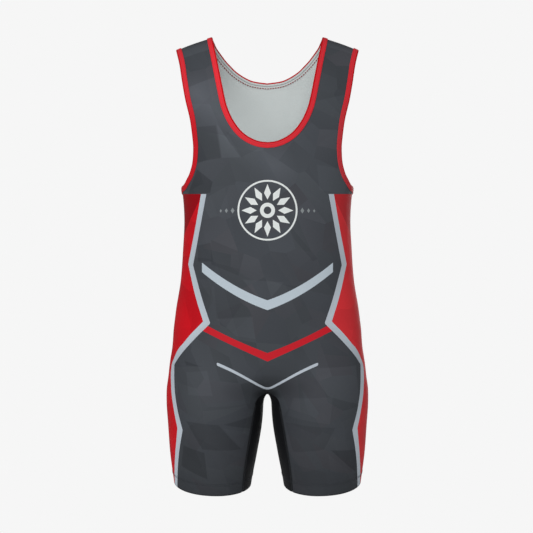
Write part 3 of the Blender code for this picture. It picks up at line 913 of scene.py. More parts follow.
def stitches(name, rows, thread, girth=THREAD):
    """Rows of stitches in one mesh. A row is a line, its normals, and the pitch and length of a stitch."""
    all_points, all_faces, total = [], [], 0
    turn = (2 * pi * np.arange(THREAD_SIDES) / THREAD_SIDES)[:, None]
    for line, normal, (pitch, length) in rows:
        run = running(line)
        starts = np.arange(pitch / 2, run[-1] - length, pitch)
        n = unit(at_distance(normal, run, starts + length / 2))
        ahead = unit(at_distance(line, run, starts + length) - at_distance(line, run, starts))
        side = np.cross(n, ahead)
        circle = n[:, None] * np.sin(turn) + side[:, None] * np.cos(turn)
        rings = []
        for share, lift, wide in STITCH_RINGS:
            at = at_distance(line, run, starts + length * share) + n * lift * girth
            rings.append(at[:, None] + circle * girth * wide * STITCH_ROUND)
        points = np.stack(rings, 1)
        number = total + np.arange(points[..., 0].size).reshape(points.shape[:3])
        ahead_ring = np.roll(number, -1, 2)
        quad = np.stack([number[:, :-1], ahead_ring[:, :-1], ahead_ring[:, 1:], number[:, 1:]], -1)
        all_points.append(points.reshape(-1, 3))
        all_faces.append(quad.reshape(-1, 4))
        total += number.size
    points, faces = np.vstack(all_points), np.vstack(all_faces)
    uv = points[:, [0, 2]]
    return make_piece(name, points, faces, np.zeros(len(faces)), uv, [thread])


def open_row(line, lift, stitch):
    """A row over the cloth, or inside it where the lift is below zero."""
    normal = outward(line)
    return (line + normal * lift, normal * np.sign(lift), stitch)


def closed_row(loop, lift, stitch):
    return open_row(np.vstack([loop, loop[:1]]), lift, stitch)


def zigzag(line, half, step):
    """A line that crosses from side to side of a seam."""
    run = running(line)
    spots = np.arange(0, run[-1], step)
    base = at_distance(line, run, spots)
    across = np.cross(outward(base), heading(base))
    swing_side = np.where(np.arange(len(spots)) % 2 == 0, half, -half)
    return settle(base + across * swing_side[:, None])


def flat_seam(line):
    """Rows of a flat stretch seam: two straight needle rows and the cover thread between them."""
    rows = []
    for side in (-1, 1):
        rows.append(open_row(moved_over(line, SEAM_ROLL * SEAM_NEEDLES, side), THREAD_LIFT, SEAM_STITCH))
    cover = zigzag(line, SEAM_ROLL * COVER_REACH, COVER_STEP)
    return rows + [open_row(cover, COVER_LIFT, COVER_STITCH)]


# ---------------------------------------------------------------- shader helpers
class Graph:
    """Short ways of adding shader nodes to one tree."""

    def __init__(self, tree):
        self.tree = tree

    def node(self, kind, **settings):
        made = self.tree.nodes.new("ShaderNode" + kind)
        for name, value in settings.items():
            setattr(made, name, value)
        return made

    def feed(self, socket, value):
        if isinstance(value, bpy.types.NodeSocket):
            self.tree.links.new(value, socket)
        else:
            socket.default_value = value

    def math(self, operation, a, b=0.0, c=0.0):
        made = self.node("Math", operation=operation)
        for socket, value in zip(made.inputs, (a, b, c)):
            self.feed(socket, value)
        return made.outputs[0]

    def both(self, *masks):
        out = masks[0]
        for mask in masks[1:]:
            out = self.math("MULTIPLY", out, mask)
        return out

    def split(self, vector):
        made = self.node("SeparateXYZ")
        self.feed(made.inputs[0], vector)
        return made.outputs[0], made.outputs[1], made.outputs[2]

    def join(self, x, y, z=0.0):
        made = self.node("CombineXYZ")
        for socket, value in zip(made.inputs, (x, y, z)):
            self.feed(socket, value)
        return made.outputs[0]

    def mix(self, share, a, b):
        made = self.node("Mix", data_type="RGBA")
        self.feed(made.inputs[0], share)
        self.feed(made.inputs[6], a)
        self.feed(made.inputs[7], b)
        return made.outputs[2]

    def scaled(self, colour, share):
        """A colour made lighter or darker by a number."""
        made = self.node("VectorMath", operation="SCALE")
        plain = isinstance(colour, tuple)
        self.feed(made.inputs[0], colour[:3] if plain else colour)
        self.feed(made.inputs["Scale"], share)
        return made.outputs[0]

    def remap(self, value, low, high, to_low=0.0, to_high=1.0):
        made = self.node("MapRange")
        for socket, item in zip(made.inputs, (value, low, high, to_low, to_high)):
            self.feed(socket, item)
        return made.outputs[0]

    def group(self, tree, **inputs):
        made = self.node("Group", node_tree=tree)
        for name, value in inputs.items():
            self.feed(made.inputs[name.replace("_", " ")], value)
        return made.outputs

    def noise(self, vector, scale, detail):
        made = self.node("TexNoise")
        self.feed(made.inputs["Vector"], vector)
        self.feed(made.inputs["Scale"], scale)
        self.feed(made.inputs["Detail"], detail)
        return made.outputs[0]


def new_group(name, inputs, outputs):
    """An empty node group with named sockets, and the graph that fills it."""
    tree = bpy.data.node_groups.new(name, "ShaderNodeTree")
    for label, kind in inputs:
        tree.interface.new_socket(label, in_out="INPUT", socket_type="NodeSocket" + kind)
    for label, kind in outputs:
        tree.interface.new_socket(label, in_out="OUTPUT", socket_type="NodeSocket" + kind)
    given = tree.nodes.new("NodeGroupInput").outputs
    return Graph(tree), given, tree.nodes.new("NodeGroupOutput").inputs


# ---------------------------------------------------------------- shared effects
COURSE = 0.8          # height of a stitch over its width
STITCH_LEAN = 1.4     # how steeply the two legs of a stitch lean together
LOOP_SHARE = 0.35     # shares of the stitches and of the ribs in the relief
RIB_SHARE = 0.65
YARN_SCALE = 260.0
CLOUD_SCALE = 17.0


def knit_group():
    """Fine plain knit: columns of small V stitches, with slightly uneven yarn."""
    g, given, out = new_group(
        "knit",
        [("Cloth", "Vector"), ("Gauge", "Float"), ("Unevenness", "Float")],
        [("Height", "Float"), ("Shade", "Float")],
    )
    u, v, _ = g.split(given["Cloth"])
    column = g.math("DIVIDE", u, given["Gauge"])
    beside = g.math("PINGPONG", column, 0.5)
    course = g.math("DIVIDE", v, g.math("MULTIPLY", given["Gauge"], COURSE))
    leaning = g.math("ADD", course, g.math("MULTIPLY", beside, STITCH_LEAN))
    loop = g.math("SINE", g.math("MULTIPLY", leaning, 2 * pi))
    rib = g.math("SINE", g.math("MULTIPLY", beside, 2 * pi))
    height = g.math("MULTIPLY_ADD", loop, LOOP_SHARE, g.math("MULTIPLY", rib, RIB_SHARE))
    g.feed(out["Height"], height)
    yarn = g.noise(given["Cloth"], YARN_SCALE, 3.0)
    cloud = g.noise(given["Cloth"], CLOUD_SCALE, 2.0)
    blend = g.math("MULTIPLY_ADD", yarn, 0.5, g.math("MULTIPLY", cloud, 0.5))
    spread = g.math("MULTIPLY", g.math("SUBTRACT", blend, 0.5), given["Unevenness"])
    g.feed(out["Shade"], g.math("ADD", 1.0, spread))
    return g.tree


def polygons(g, flat, size):
    """Tone and tint of straight-edged polygons, each cut in two by a straight line through its middle."""
    node = g.node("TexVoronoi", voronoi_dimensions="2D")
    g.feed(node.inputs["Vector"], flat)
    g.feed(node.inputs["Scale"], 1 / size)
    g.feed(node.inputs["Randomness"], FACET_EVEN)
    number, level, _ = g.split(node.outputs["Color"])
    away = g.node("VectorMath", operation="SUBTRACT")
    g.feed(away.inputs[0], flat)
    g.feed(away.inputs[1], node.outputs["Position"])
    right, up, _ = g.split(away.outputs[0])
    angle = g.math("MULTIPLY", number, 2 * pi)
    across = g.math("MULTIPLY", right, g.math("COSINE", angle))
    across = g.math("MULTIPLY_ADD", up, g.math("SINE", angle), across)
    half = g.math("GREATER_THAN", across, 0.0)
    chance = g.node("TexWhiteNoise", noise_dimensions="2D")
    g.feed(chance.inputs["Vector"], g.join(g.math("ADD", number, half), level))
    own, tint, _ = g.split(chance.outputs["Color"])
    tone = g.math("MULTIPLY_ADD", own, FACET_OWN, g.math("MULTIPLY", level, 1 - FACET_OWN))
    return g.math("MULTIPLY_ADD", across, FACET_LEAN / size, tone), tint


def facet_group():
    """A printed ground of flat polygons, small ones over large ones."""
    g, given, out = new_group(
        "facets",
        [("Point", "Vector"), ("Shift", "Float")],
        [("Tone", "Float"), ("Tint", "Float")],
    )
    x, y, z = g.split(given["Point"])
    turned = g.math("SUBTRACT", WRAP_FROM, g.math("ABSOLUTE", y))
    around = g.math("MULTIPLY", x, g.math("MULTIPLY_ADD", turned, PRINT_WRAP, 1.0))
    slanted = g.math("MULTIPLY_ADD", z, FACET_SLANT, g.math("ADD", around, given["Shift"]))
    flat = g.join(slanted, z)
    (small, small_share), (large, large_share) = FACETS
    small_tone, tint = polygons(g, flat, small)
    large_tone, _ = polygons(g, flat, large)
    tone = g.math("MULTIPLY", large_tone, large_share)
    g.feed(out["Tone"], g.math("MULTIPLY_ADD", small_tone, small_share, tone))
    g.feed(out["Tint"], tint)
    return g.tree


def outline_curve(g, height, outline):
    """Distance of an outline from the middle, read at a height."""
    node = g.node("FloatCurve")
    line = node.mapping.curves[0]
    while len(line.points) < len(outline):
        line.points.new(0.5, 0.5)
    for point, (z, x, corner) in zip(line.points, outline):
        point.location = (
            (z - PRINT_LOW) / (outline[-1][0] - PRINT_LOW),
            (x - EDGE_NEAR) / (EDGE_FAR - EDGE_NEAR),
        )
        point.handle_type = "VECTOR" if corner else "AUTO"
    node.mapping.update()
    g.feed(node.inputs["Value"], g.remap(height, PRINT_LOW, outline[-1][0]))
    return g.remap(node.outputs[0], 0.0, 1.0, EDGE_NEAR, EDGE_FAR)


def side_group():
    """Where the red side areas and the silver lines beside them are printed."""
    g, given, out = new_group(
        "side print",
        [("Point", "Vector")],
        [("Red", "Float"), ("Silver", "Float"), ("Across", "Float"), ("Beside", "Float")],
    )
    x, y, z = g.split(given["Point"])
    aside = g.math("ABSOLUTE", x)
    inner = outline_curve(g, z, LINE_INNER)
    outer = outline_curve(g, z, LINE_OUTER)
    top = g.math("MULTIPLY_ADD", g.math("ABSOLUTE", y), -PRINT_FALL, PRINT_TOP)
    under_top = g.math("LESS_THAN", z, top)
    past_inner = g.math("GREATER_THAN", aside, inner)
    past_outer = g.math("GREATER_THAN", aside, outer)
    g.feed(out["Red"], g.both(past_outer, under_top))
    g.feed(out["Silver"], g.both(past_inner, g.math("SUBTRACT", 1.0, past_outer), under_top))
    g.feed(out["Across"], g.remap(aside, inner, outer))
    g.feed(out["Beside"], g.math("SUBTRACT", inner, aside))
    return g.tree


# ---------------------------------------------------------------- prints of the front alone
def chevron_edge(g, aside, edge):
    height, lean, bend = edge
    rise = g.math("MULTIPLY_ADD", aside, bend, lean)
    return g.math("MULTIPLY_ADD", aside, rise, height)


def chevron(g, aside, z, top, low):
    under = g.math("LESS_THAN", z, chevron_edge(g, aside, top))
    over = g.math("GREATER_THAN", z, chevron_edge(g, aside, low))
    return g.both(under, over)


def thin_chevron(g, aside, z):
    """A thin line with round ends and a rounded tip."""
    soft = g.math("SQRT", g.math("MULTIPLY_ADD", aside, aside, THIN_SOFT**2))
    away = g.math("ABSOLUTE", g.math("SUBTRACT", z, chevron_edge(g, soft, THIN_MIDDLE)))
    square = g.math("MULTIPLY", away, THIN_SLANT)
    beyond = g.math("MAXIMUM", g.math("SUBTRACT", aside, THIN_REACH), 0.0)
    distance = g.math("SQRT", g.math("MULTIPLY_ADD", beyond, beyond, g.math("POWER", square, 2.0)))
    return g.math("LESS_THAN", distance, THIN_HALF)


def rosette(g, x, z):
    """A ring of tapered petals in a hoop, with a small ring as its hub."""
    up = g.math("SUBTRACT", z, ROSETTE_Z)
    radius = g.math("SQRT", g.math("MULTIPLY_ADD", x, x, g.math("MULTIPLY", up, up)))
    turn = g.math("MULTIPLY", g.math("ARCTAN2", up, x), PETALS / (2 * pi))
    turn = g.math("SUBTRACT", g.math("FRACT", g.math("ADD", turn, PETALS + 0.5)), 0.5)
    aside = g.math("ABSOLUTE", g.math("MULTIPLY", g.math("MULTIPLY", turn, 2 * pi / PETALS), radius))
    widening = g.remap(radius, PETAL_IN, PETAL_WIDE, 0.0, PETAL_HALF)
    narrowing = g.remap(radius, PETAL_WIDE, PETAL_OUT, PETAL_HALF, 0.0)
    petals = g.math("LESS_THAN", aside, g.math("MINIMUM", widening, narrowing))
    rings = []
    for low, high in ((HUB_IN, HUB_OUT), (HOOP_IN, HOOP_OUT)):
        rings.append(g.both(g.math("GREATER_THAN", radius, low), g.math("LESS_THAN", radius, high)))
    return g.math("MAXIMUM", petals, g.math("MAXIMUM", *rings))


def beads(g, aside, z):
    """Small lozenges in a row on each side of the rosette."""
    up = g.math("ABSOLUTE", g.math("SUBTRACT", z, ROSETTE_Z))
    out = 0.0
    for place, size in zip(BEADS, BEAD_SIZE):
        away = g.math("ABSOLUTE", g.math("SUBTRACT", aside, place))
        inside = g.math("LESS_THAN", g.math("MULTIPLY_ADD", away, BEAD_SHAPE, up), size)
        out = g.math("MAXIMUM", out, inside)
    return out


# ---------------------------------------------------------------- materials
# Each knit: roughness, sheen, gauge, unevenness of its yarn, depth and strength of its raised stitches.
PRINTED_KNIT = (0.62, 0.01, 0.0011, 0.12, 0.00012, 0.30)
BLACK_KNIT = (0.62, 0.01, 0.0011, 0.20, 0.00012, 0.35)
WRONG_KNIT = (0.72, 0.02, 0.0011, 0.08, 0.00012, 0.35)
WRONG_BLACK_KNIT = (0.72, 0.01, 0.0011, 0.10, 0.00012, 0.35)
STRIP_KNIT = (0.55, 0.01, 0.0009, 0.12, 0.00010, 0.30)
STRIP_INSIDE_KNIT = (0.70, 0.02, 0.0009, 0.12, 0.00010, 0.30)
KNIT_SPECULAR = 0.10
SHEEN_ROUGHNESS = 0.45
YARN_SHADES = (0.9, 1.1)
YARN_FINISH = 0.04    # the roughness changes this much either way between those shades of the yarn
NECK_FOLD = 0.0014    # width of the painted shade, a deeper red along the fold of a binding
ARM_FOLD = 0.0018
FOLD_SOFT = 0.0003
NEEDLE_LINE = (0.0010, 0.0004, 0.6)  # the line along the needle row: half its width, where it is full, share
STEP_PLACE = 0.54     # inside a binding the plies step at this share of its width
STEP_LINE = (0.0011, 0.0005)  # half the width of the painted shade line there, where it is full
THREAD_ROUGHNESS = 0.50
THREAD_SPECULAR = 0.15
TWIST_SCALE = 900.0
TWIST_SHADES = (0.8, 1.1)


def new_material(name, roughness, specular):
    """A new material, with its graph and its shader."""
    material = bpy.data.materials.new(name)
    material.use_nodes = True
    shader = material.node_tree.nodes["Principled BSDF"]
    shader.inputs["Roughness"].default_value = roughness
    shader.inputs["Specular IOR Level"].default_value = specular
    return material, Graph(material.node_tree), shader


def fabric(name, groups, kind):
    """A knit material without its colour, with its place on the cloth and the shade of its yarn."""
    roughness, sheen, gauge, unevenness, depth, strength = kind
    material, g, shader = new_material(name, roughness, KNIT_SPECULAR)
    shader.inputs["Sheen Weight"].default_value = sheen
    shader.inputs["Sheen Roughness"].default_value = SHEEN_ROUGHNESS
    cloth = g.node("UVMap", uv_map="cloth").outputs[0]
    knit = g.group(groups["knit"], Cloth=cloth, Gauge=gauge, Unevenness=unevenness)
    bump = g.node("Bump")
    bump.inputs["Strength"].default_value = strength
    bump.inputs["Distance"].default_value = depth
    g.feed(bump.inputs["Height"], knit["Height"])
    g.feed(shader.inputs["Normal"], bump.outputs[0])
    return material, g, shader, cloth, knit["Shade"]


def yarn_finish(g, shader, shade, roughness):
    """A roughness that changes a little with the yarn."""
    rough, smooth = roughness + YARN_FINISH, roughness - YARN_FINISH
    g.feed(shader.inputs["Roughness"], g.remap(shade, *YARN_SHADES, rough, smooth))


def ground_grey(g, tone, tint, x, z):
    """The faceted grey of the body: darker to the hems, with painted shade round the crotch, tinted here and
    there.
    """
    grey = g.mix(tone, GREY_DARK, GREY_LIGHT)
    for colour, low, high in TINTS:
        share = g.math("MULTIPLY", g.remap(tint, low, high), TINT_SHARE)
        grey = g.mix(share, grey, g.scaled(colour, g.remap(tone, 0, 1, *TINT_TONES)))
    for low, high, least in GREY_FALLS:
        grey = g.scaled(grey, g.remap(z, low, high, least, 1.0))
    # Painted shade round the crotch, where a shadow would fall.
    for height, flatness, reach, shade in GROIN_PAINTED_SHADE:
        up = g.math("MULTIPLY", g.math("SUBTRACT", z, height), flatness)
        away = g.math("SQRT", g.math("MULTIPLY_ADD", x, x, g.math("MULTIPLY", up, up)))
        grey = g.scaled(grey, g.math("POWER", g.remap(away, 0.0, reach, shade, 1.0), GROIN_SHADE_POWER))
    return grey


def laid_facets(g, x, z):
    """The larger facets of the front, as the share of light that they leave of the ground."""
    light = 1.0
    for share, *corners in LAID_FACETS:
        inside = 1.0
        for (x0, z0), (x1, z1) in zip(corners, corners[1:] + corners[:1]):
            length = float(np.hypot(x1 - x0, z1 - z0))
            run_x, run_z = (x1 - x0) / length, (z1 - z0) / length
            depth = g.math("MULTIPLY_ADD", z, -run_x, z0 * run_x - x0 * run_z)
            inside = g.math("MINIMUM", inside, g.math("MULTIPLY_ADD", x, run_z, depth))
        light = g.math("MULTIPLY", light, g.remap(inside, 0.0, LAID_SOFT, 1.0, share))
    return light


def shine(g, x, z):
    """The painted highlight, a soft lighter band across the chest."""
    x0, z0, x1, z1, half, gain = SHINE
    length = float(np.hypot(x1 - x0, z1 - z0))
    run_x, run_z = (x1 - x0) / length, (z1 - z0) / length
    right, up = g.math("SUBTRACT", x, x0), g.math("SUBTRACT", z, z0)
    reached = g.math("MULTIPLY_ADD", right, run_x, g.math("MULTIPLY", up, run_z))
    off = g.math("MULTIPLY_ADD", right, run_z, g.math("MULTIPLY", up, -run_x))
    past = g.math("MAXIMUM", g.math("MULTIPLY", reached, -1.0), g.math("SUBTRACT", reached, length))
    past = g.math("MAXIMUM", past, 0.0)
    away = g.math("SQRT", g.math("MULTIPLY_ADD", off, off, g.math("MULTIPLY", past, past)))
    return g.math("MULTIPLY_ADD", g.remap(away, half, 0.0), gain, 1.0)


def side_red(g, tone, x, z):
    """The red of the sides: deeper over a slanting line, faintly faceted, with a painted sheen haze that
    makes the wearer's left duller.
    """
    height, fall = WEDGE
    wedge = g.math("GREATER_THAN", g.math("MULTIPLY_ADD", g.math("ABSOLUTE", x), fall, z), height)
    light, dark, most = SIDE_FAINT
    faint = g.math("MULTIPLY", g.remap(tone, light, dark), most)
    deep = g.math("MAXIMUM", g.math("MULTIPLY", wedge, WEDGE_DEEP), faint)
    start, full, share = SIDE_HAZE
    haze_share = g.math("MULTIPLY", g.remap(x, start, full), share)
    hazed = g.mix(g.math("MULTIPLY", deep, SIDE_HAZE_DEEP), RED_HAZED, g.scaled(RED_HAZED, SIDE_HAZE_DEEP))
    return g.mix(haze_share, g.mix(deep, RED_LIGHT, RED_DARK), hazed)


def strap_shade(g, y, z):
    """Painted shade on the top of the straps."""
    full, end, shade = STRAP_SHADE
    top = g.math("MULTIPLY", g.remap(g.math("ABSOLUTE", y), end, full), g.remap(z, *STRAP_RISE))
    return g.math("MULTIPLY_ADD", top, shade - 1.0, 1.0)


def hem_shade(g, aside, z):
    """Painted shade: a darker line along the folded edge of the hems."""
    reach, shade = HEM_SHADE
    hem = g.math("MULTIPLY_ADD", aside, HEM_TILT, HEM_Z - HEM_TILT * LEG_X)
    return g.remap(g.math("SUBTRACT", z, hem), 0.0, reach, shade, 1.0)


def front_print(g, colour, beside, x, z):
    """The front's painted highlight and its own print over its ground: larger light and dark facets,
    chevrons, rosette and lozenges.
    """
    aside = g.math("ABSOLUTE", x)
    # A painted highlight, times the larger printed facets.
    colour = g.scaled(colour, g.math("MULTIPLY", shine(g, x, z), laid_facets(g, x, z)))
    red = g.both(chevron(g, aside, z, RED_TOP, RED_LOW), g.math("GREATER_THAN", beside, -CHEVRON_UNDER))
    colour = g.mix(red, colour, RED_CHEVRON)
    silver = g.both(chevron(g, aside, z, SILVER_TOP, SILVER_LOW), g.math("LESS_THAN", aside, SILVER_END))
    colour = g.mix(silver, colour, SILVER)
    colour = g.mix(thin_chevron(g, aside, z), colour, SILVER_WARM)
    colour = g.mix(beads(g, aside, z), colour, BEAD_INK)
    return g.mix(rosette(g, x, z), colour, WHITE_INK)


def printed_knit(name, groups, shift, front):
    """The printed face of a panel, with painted shade on the straps, the hems and round the crotch, a
    painted sheen haze on the red sides, and on the front a painted highlight.
    """
    material, g, shader, _, shade = fabric(name, groups, PRINTED_KNIT)
    point = g.node("TexCoord").outputs["Object"]
    facets = g.group(groups["facets"], Point=point, Shift=shift)
    sides = g.group(groups["side"], Point=point)
    x, y, z = g.split(point)
    tone = facets["Tone"]
    if front:
        tone = g.math("MULTIPLY_ADD", tone, FRONT_CALM, 0.5 - 0.5 * FRONT_CALM)
    colour = ground_grey(g, tone, facets["Tint"], x, z)
    # Painted shade on top of the straps.
    colour = g.scaled(colour, strap_shade(g, y, z))
    if front:
        colour = front_print(g, colour, sides["Beside"], x, z)
    silver = g.mix(g.remap(sides["Across"], *SILVER_BLEND), SILVER_WARM, SILVER)
    colour = g.mix(sides["Silver"], colour, silver)
    colour = g.mix(sides["Red"], colour, side_red(g, facets["Tone"], x, z))
    # Painted shade along the hem edges.
    colour = g.scaled(colour, hem_shade(g, g.math("ABSOLUTE", x), z))
    g.feed(shader.inputs["Base Color"], g.scaled(colour, shade))
    yarn_finish(g, shader, shade, PRINTED_KNIT[0])
    return material


def plain_knit(name, groups, colour, kind):
    """Knit of one dyed colour."""
    material, g, shader, _, shade = fabric(name, groups, kind)
    g.feed(shader.inputs["Base Color"], g.scaled(colour, shade))
    yarn_finish(g, shader, shade, kind[0])
    return material


def low_red(g, point):
    """The painted shade of the lower armholes, deeper on the wearer's right and hazed on the left, and how
    far it takes over.
    """
    x, _, z = g.split(point)
    end, start, most = ARM_SHADE_FALL
    share = g.math("MULTIPLY", g.remap(z, start, end), most)
    return g.mix(g.math("GREATER_THAN", x, 0.0), ARM_SHADED, ARM_SHADED_HAZED), share


def binding_knit(name, groups, width, fold_reach, armhole):
    """The red strip: brighter on its flat, with painted shade along the fold and on the lower armholes, and
    a duller needle line.
    """
    material, g, shader, cloth, shade = fabric(name, groups, STRIP_KNIT)
    _, across, _ = g.split(cloth)
    fold = g.remap(across, width - fold_reach - FOLD_SOFT, width - fold_reach + FOLD_SOFT)
    needle = g.math("ABSOLUTE", g.math("SUBTRACT", across, width * (1 - NEEDLE_ROWS[1])))
    reach, full, most = NEEDLE_LINE
    line = g.math("MULTIPLY", g.remap(needle, reach, full), most)
    colour = g.mix(line, BINDING_RED, BINDING_LINE)
    if armhole:
        # Painted shade of the lower armholes.
        red, share = low_red(g, g.node("TexCoord").outputs["Object"])
        colour = g.mix(share, colour, red)
    # Painted shade along the fold.
    colour = g.mix(fold, colour, BINDING_FOLD_SHADE)
    g.feed(shader.inputs["Base Color"], g.scaled(colour, shade))
    return material


def binding_inside(name, groups, width):
    """The inner ply of a binding: pale, with a line of painted shade where its plies step."""
    material, g, shader, cloth, shade = fabric(name, groups, STRIP_INSIDE_KNIT)
    _, across, _ = g.split(cloth)
    place = width * (1 + STEP_PLACE) + BAND_THROUGH
    step = g.math("ABSOLUTE", g.math("SUBTRACT", across, place))
    colour = g.mix(g.remap(step, *STEP_LINE), WRONG_SIDE, STEP_SHADE_GREY)
    g.feed(shader.inputs["Base Color"], g.scaled(colour, shade))
    return material


def thread(name, colour):
    """Sewing thread: its twist shows as fine slanting ridges of painted shade."""
    material, g, shader = new_material(name, THREAD_ROUGHNESS, THREAD_SPECULAR)
    twist = g.node("TexWave", bands_direction="DIAGONAL")
    g.feed(twist.inputs["Vector"], g.node("TexCoord").outputs["Object"])
    g.feed(twist.inputs["Scale"], TWIST_SCALE)
    # Painted shade of the twist's ridges.
    ridge_shade = g.remap(twist.outputs["Fac"], 0, 1, *TWIST_SHADES)
    g.feed(shader.inputs["Base Color"], g.scaled(colour, ridge_shade))
    return material


def build_materials():
    groups = {"knit": knit_group(), "facets": facet_group(), "side": side_group()}
    looks = {
        "front": printed_knit("printed_front_painted_shade", groups, FRONT_SHIFT, True),
        "back": printed_knit("printed_back_painted_shade", groups, BACK_SHIFT, False),
        "black": plain_knit("black_knit", groups, BLACK, BLACK_KNIT),
        "wrong": plain_knit("wrong_side", groups, WRONG_SIDE, WRONG_KNIT),
        "wrong_black": plain_knit("wrong_side_black", groups, BLACK, WRONG_BLACK_KNIT),
        "neck_strip": binding_knit("neck_binding_red", groups, NECK_BAND, NECK_FOLD, False),
        "neck_inside": binding_inside("neck_binding_inside", groups, NECK_BAND),
        "arm_strip": binding_knit("arm_binding_red", groups, ARM_BAND, ARM_FOLD, True),
        "arm_inside": binding_inside("arm_binding_inside", groups, ARM_BAND),
    }
    for label, colour in THREADS.items():
        looks[label + "_thread"] = thread("thread_" + label, colour)
    return looks


# ---------------------------------------------------------------- stage
LENS = 43.44
SENSOR = 36.0
CAMERA_PLACE = (-0.0017, -1.222, -0.423)
FLOOR_Z = -1.45
FLOOR_RADIUS = 1.15
FLOOR_SIDES = 96
CLIP_START = 0.05
CLIP_END = 50.0
# Lamps: place, aim, size of the lamp or angle of its beam in degrees, power in watts.
FRONT_LAMP = ((-1.00, -3.50, -0.05), (0, 0, -0.45), 3.4, 82.0)
BACK_LAMP = ((1.00, 3.50, -0.05), (0, 0, -0.45), 3.4, 82.0)
NECK_LAMP = ((0.30, -1.60, 0.55), (-0.068, 0.085, -0.135), 8.8, 38.0)
BEAM_SOFT = 0.05      # radius of the lamp that makes the beam
AIR = 0.34            # strength of the light from all round


def unlit_to_camera(tree, lit, kind):
    """Shows the camera an even pale tone, and everything else the lit surface or air."""
    seen = tree.nodes.new(kind)
    seen.inputs["Color"].default_value = STUDIO_PALE
    choice = tree.nodes.new("ShaderNodeMixShader")
    path = tree.nodes.new("ShaderNodeLightPath")
    tree.links.new(path.outputs["Is Camera Ray"], choice.inputs[0])
    tree.links.new(lit.outputs[0], choice.inputs[1])
    tree.links.new(seen.outputs[0], choice.inputs[2])
    return choice.outputs[0]


def make_floor():
    """A pale round floor that looks as bright as the air round it."""
    turn = 2 * pi * np.arange(FLOOR_SIDES) / FLOOR_SIDES
    points = np.stack([FLOOR_RADIUS * np.cos(turn), FLOOR_RADIUS * np.sin(turn), 0 * turn + FLOOR_Z], -1)
    mesh = bpy.data.meshes.new("studio_floor")
    mesh.from_pydata(points.tolist(), [], [list(range(FLOOR_SIDES))])
    material = bpy.data.materials.new("studio_pale")
    material.use_nodes = True
    tree = material.node_tree
    shader = tree.nodes["Principled BSDF"]
    shader.inputs["Base Color"].default_value = STUDIO_PALE
    shader.inputs["Roughness"].default_value = 1.0
    shader.inputs["Specular IOR Level"].default_value = 0.0
    seen = unlit_to_camera(tree, shader, "ShaderNodeEmission")
    tree.links.new(seen, tree.nodes["Material Output"].inputs["Surface"])
    mesh.materials.append(material)
    floor = bpy.data.objects.new("studio_floor", mesh)
    bpy.context.scene.collection.objects.link(floor)


def soft_light(name, place, aim, size, power):
    data = bpy.data.lights.new(name, "AREA")
    data.shape = "DISK"
    data.size = size
    place_light(data, place, aim, power)


def aimed_light(name, place, aim, degrees, power):
    """A narrow beam with soft edges."""
    data = bpy.data.lights.new(name, "SPOT")
    data.spot_size = degrees * pi / 180
    data.spot_blend = 1.0
    data.shadow_soft_size = BEAM_SOFT
    place_light(data, place, aim, power)


def place_light(data, place, aim, power):
    data.energy = power
    lamp = bpy.data.objects.new(data.name, data)
    lamp.location = place
    way = np.array(aim) - np.array(place)
    lamp.rotation_mode = "QUATERNION"
    lamp.rotation_quaternion = Vector(way).to_track_quat("-Z", "Y")
    bpy.context.scene.collection.objects.link(lamp)


def light_studio():
    """Dim even air, a large soft lamp before the garment and one behind it, and a beam into the neck."""
    world = bpy.data.worlds.new("studio_air")
    world.use_nodes = True
    tree = world.node_tree
    air = tree.nodes["Background"]
    air.inputs["Color"].default_value = STUDIO_PALE
    air.inputs["Strength"].default_value = AIR
    seen = unlit_to_camera(tree, air, "ShaderNodeBackground")
    tree.links.new(seen, tree.nodes["World Output"].inputs["Surface"])
    bpy.context.scene.world = world
    soft_light("front_lamp", *FRONT_LAMP)
    soft_light("back_lamp", *BACK_LAMP)
    aimed_light("neck_lamp", *NECK_LAMP)


def make_camera():
    data = bpy.data.cameras.new("camera")
    data.lens = LENS
    data.sensor_width = SENSOR
    data.clip_start = CLIP_START
    data.clip_end = CLIP_END
    camera = bpy.data.objects.new("camera", data)
    camera.location = CAMERA_PLACE
    camera.rotation_euler = (pi / 2, 0, 0)
    bpy.context.scene.collection.objects.link(camera)
    bpy.context.scene.camera = camera


def set_colours():
    scene = bpy.context.scene
    scene.view_settings.view_transform = "Standard"
    scene.view_settings.look = "None"
    scene.view_settings.exposure = 0.0
    scene.view_settings.gamma = 1.0


# ---------------------------------------------------------------- the garment
def sew_binding(label, loop, side, width, looks):
    """Two rows of needle stitches through a binding, and the bobbin row inside it."""
    raw = beside_loop(loop, FOLD, side)
    top = BAND_TOP + THREAD_LIFT
    rows = [closed_row(beside_loop(raw, width * share, side), top, NEEDLE_STITCH) for share in NEEDLE_ROWS]
    needle = stitches(label + "_needle_rows", rows, looks["red_thread"])
    inner = beside_loop(raw, width * BOBBIN_ROW, side)
    bobbin = [closed_row(inner, BAND_LOW, BOBBIN_STITCH)]
    return [needle, stitches(label + "_bobbin_row", bobbin, looks["bobbin_thread"], BOBBIN_THREAD)]


def stretch_of(line, start, end):
    """The stretch of a line between two distances; an end below zero counts from the line's end."""
    run = running(line)
    if end <= 0:
        end += run[-1]
    count = max(FEWEST_POINTS, int((end - start) / MOVE_STEP))
    return settle(at_distance(line, run, np.linspace(start, end, count)))


def shoulder_line(front):
    """The seam on top of a strap, between its two bindings."""
    x = np.linspace(front["neck"][-1, 0], front["arm"][-1, 0], SHOULDER_POINTS)
    ridge = settle(np.stack([x, 0 * x, 0 * x + RIDGE_Z], -1))
    return stretch_of(ridge, FOLD + NECK_BAND, -FOLD - ARM_BAND)


def crotch_line(front, back):
    """The seam under the body, between the two black pieces."""
    t = np.linspace(0, 1, CROTCH_POINTS)[:, None]
    straight = (1 - t) * front["thigh"][-1] + t * back["thigh"][-1]
    return settle(straight - np.array([0.0, 0.0, CROTCH_SAG]))


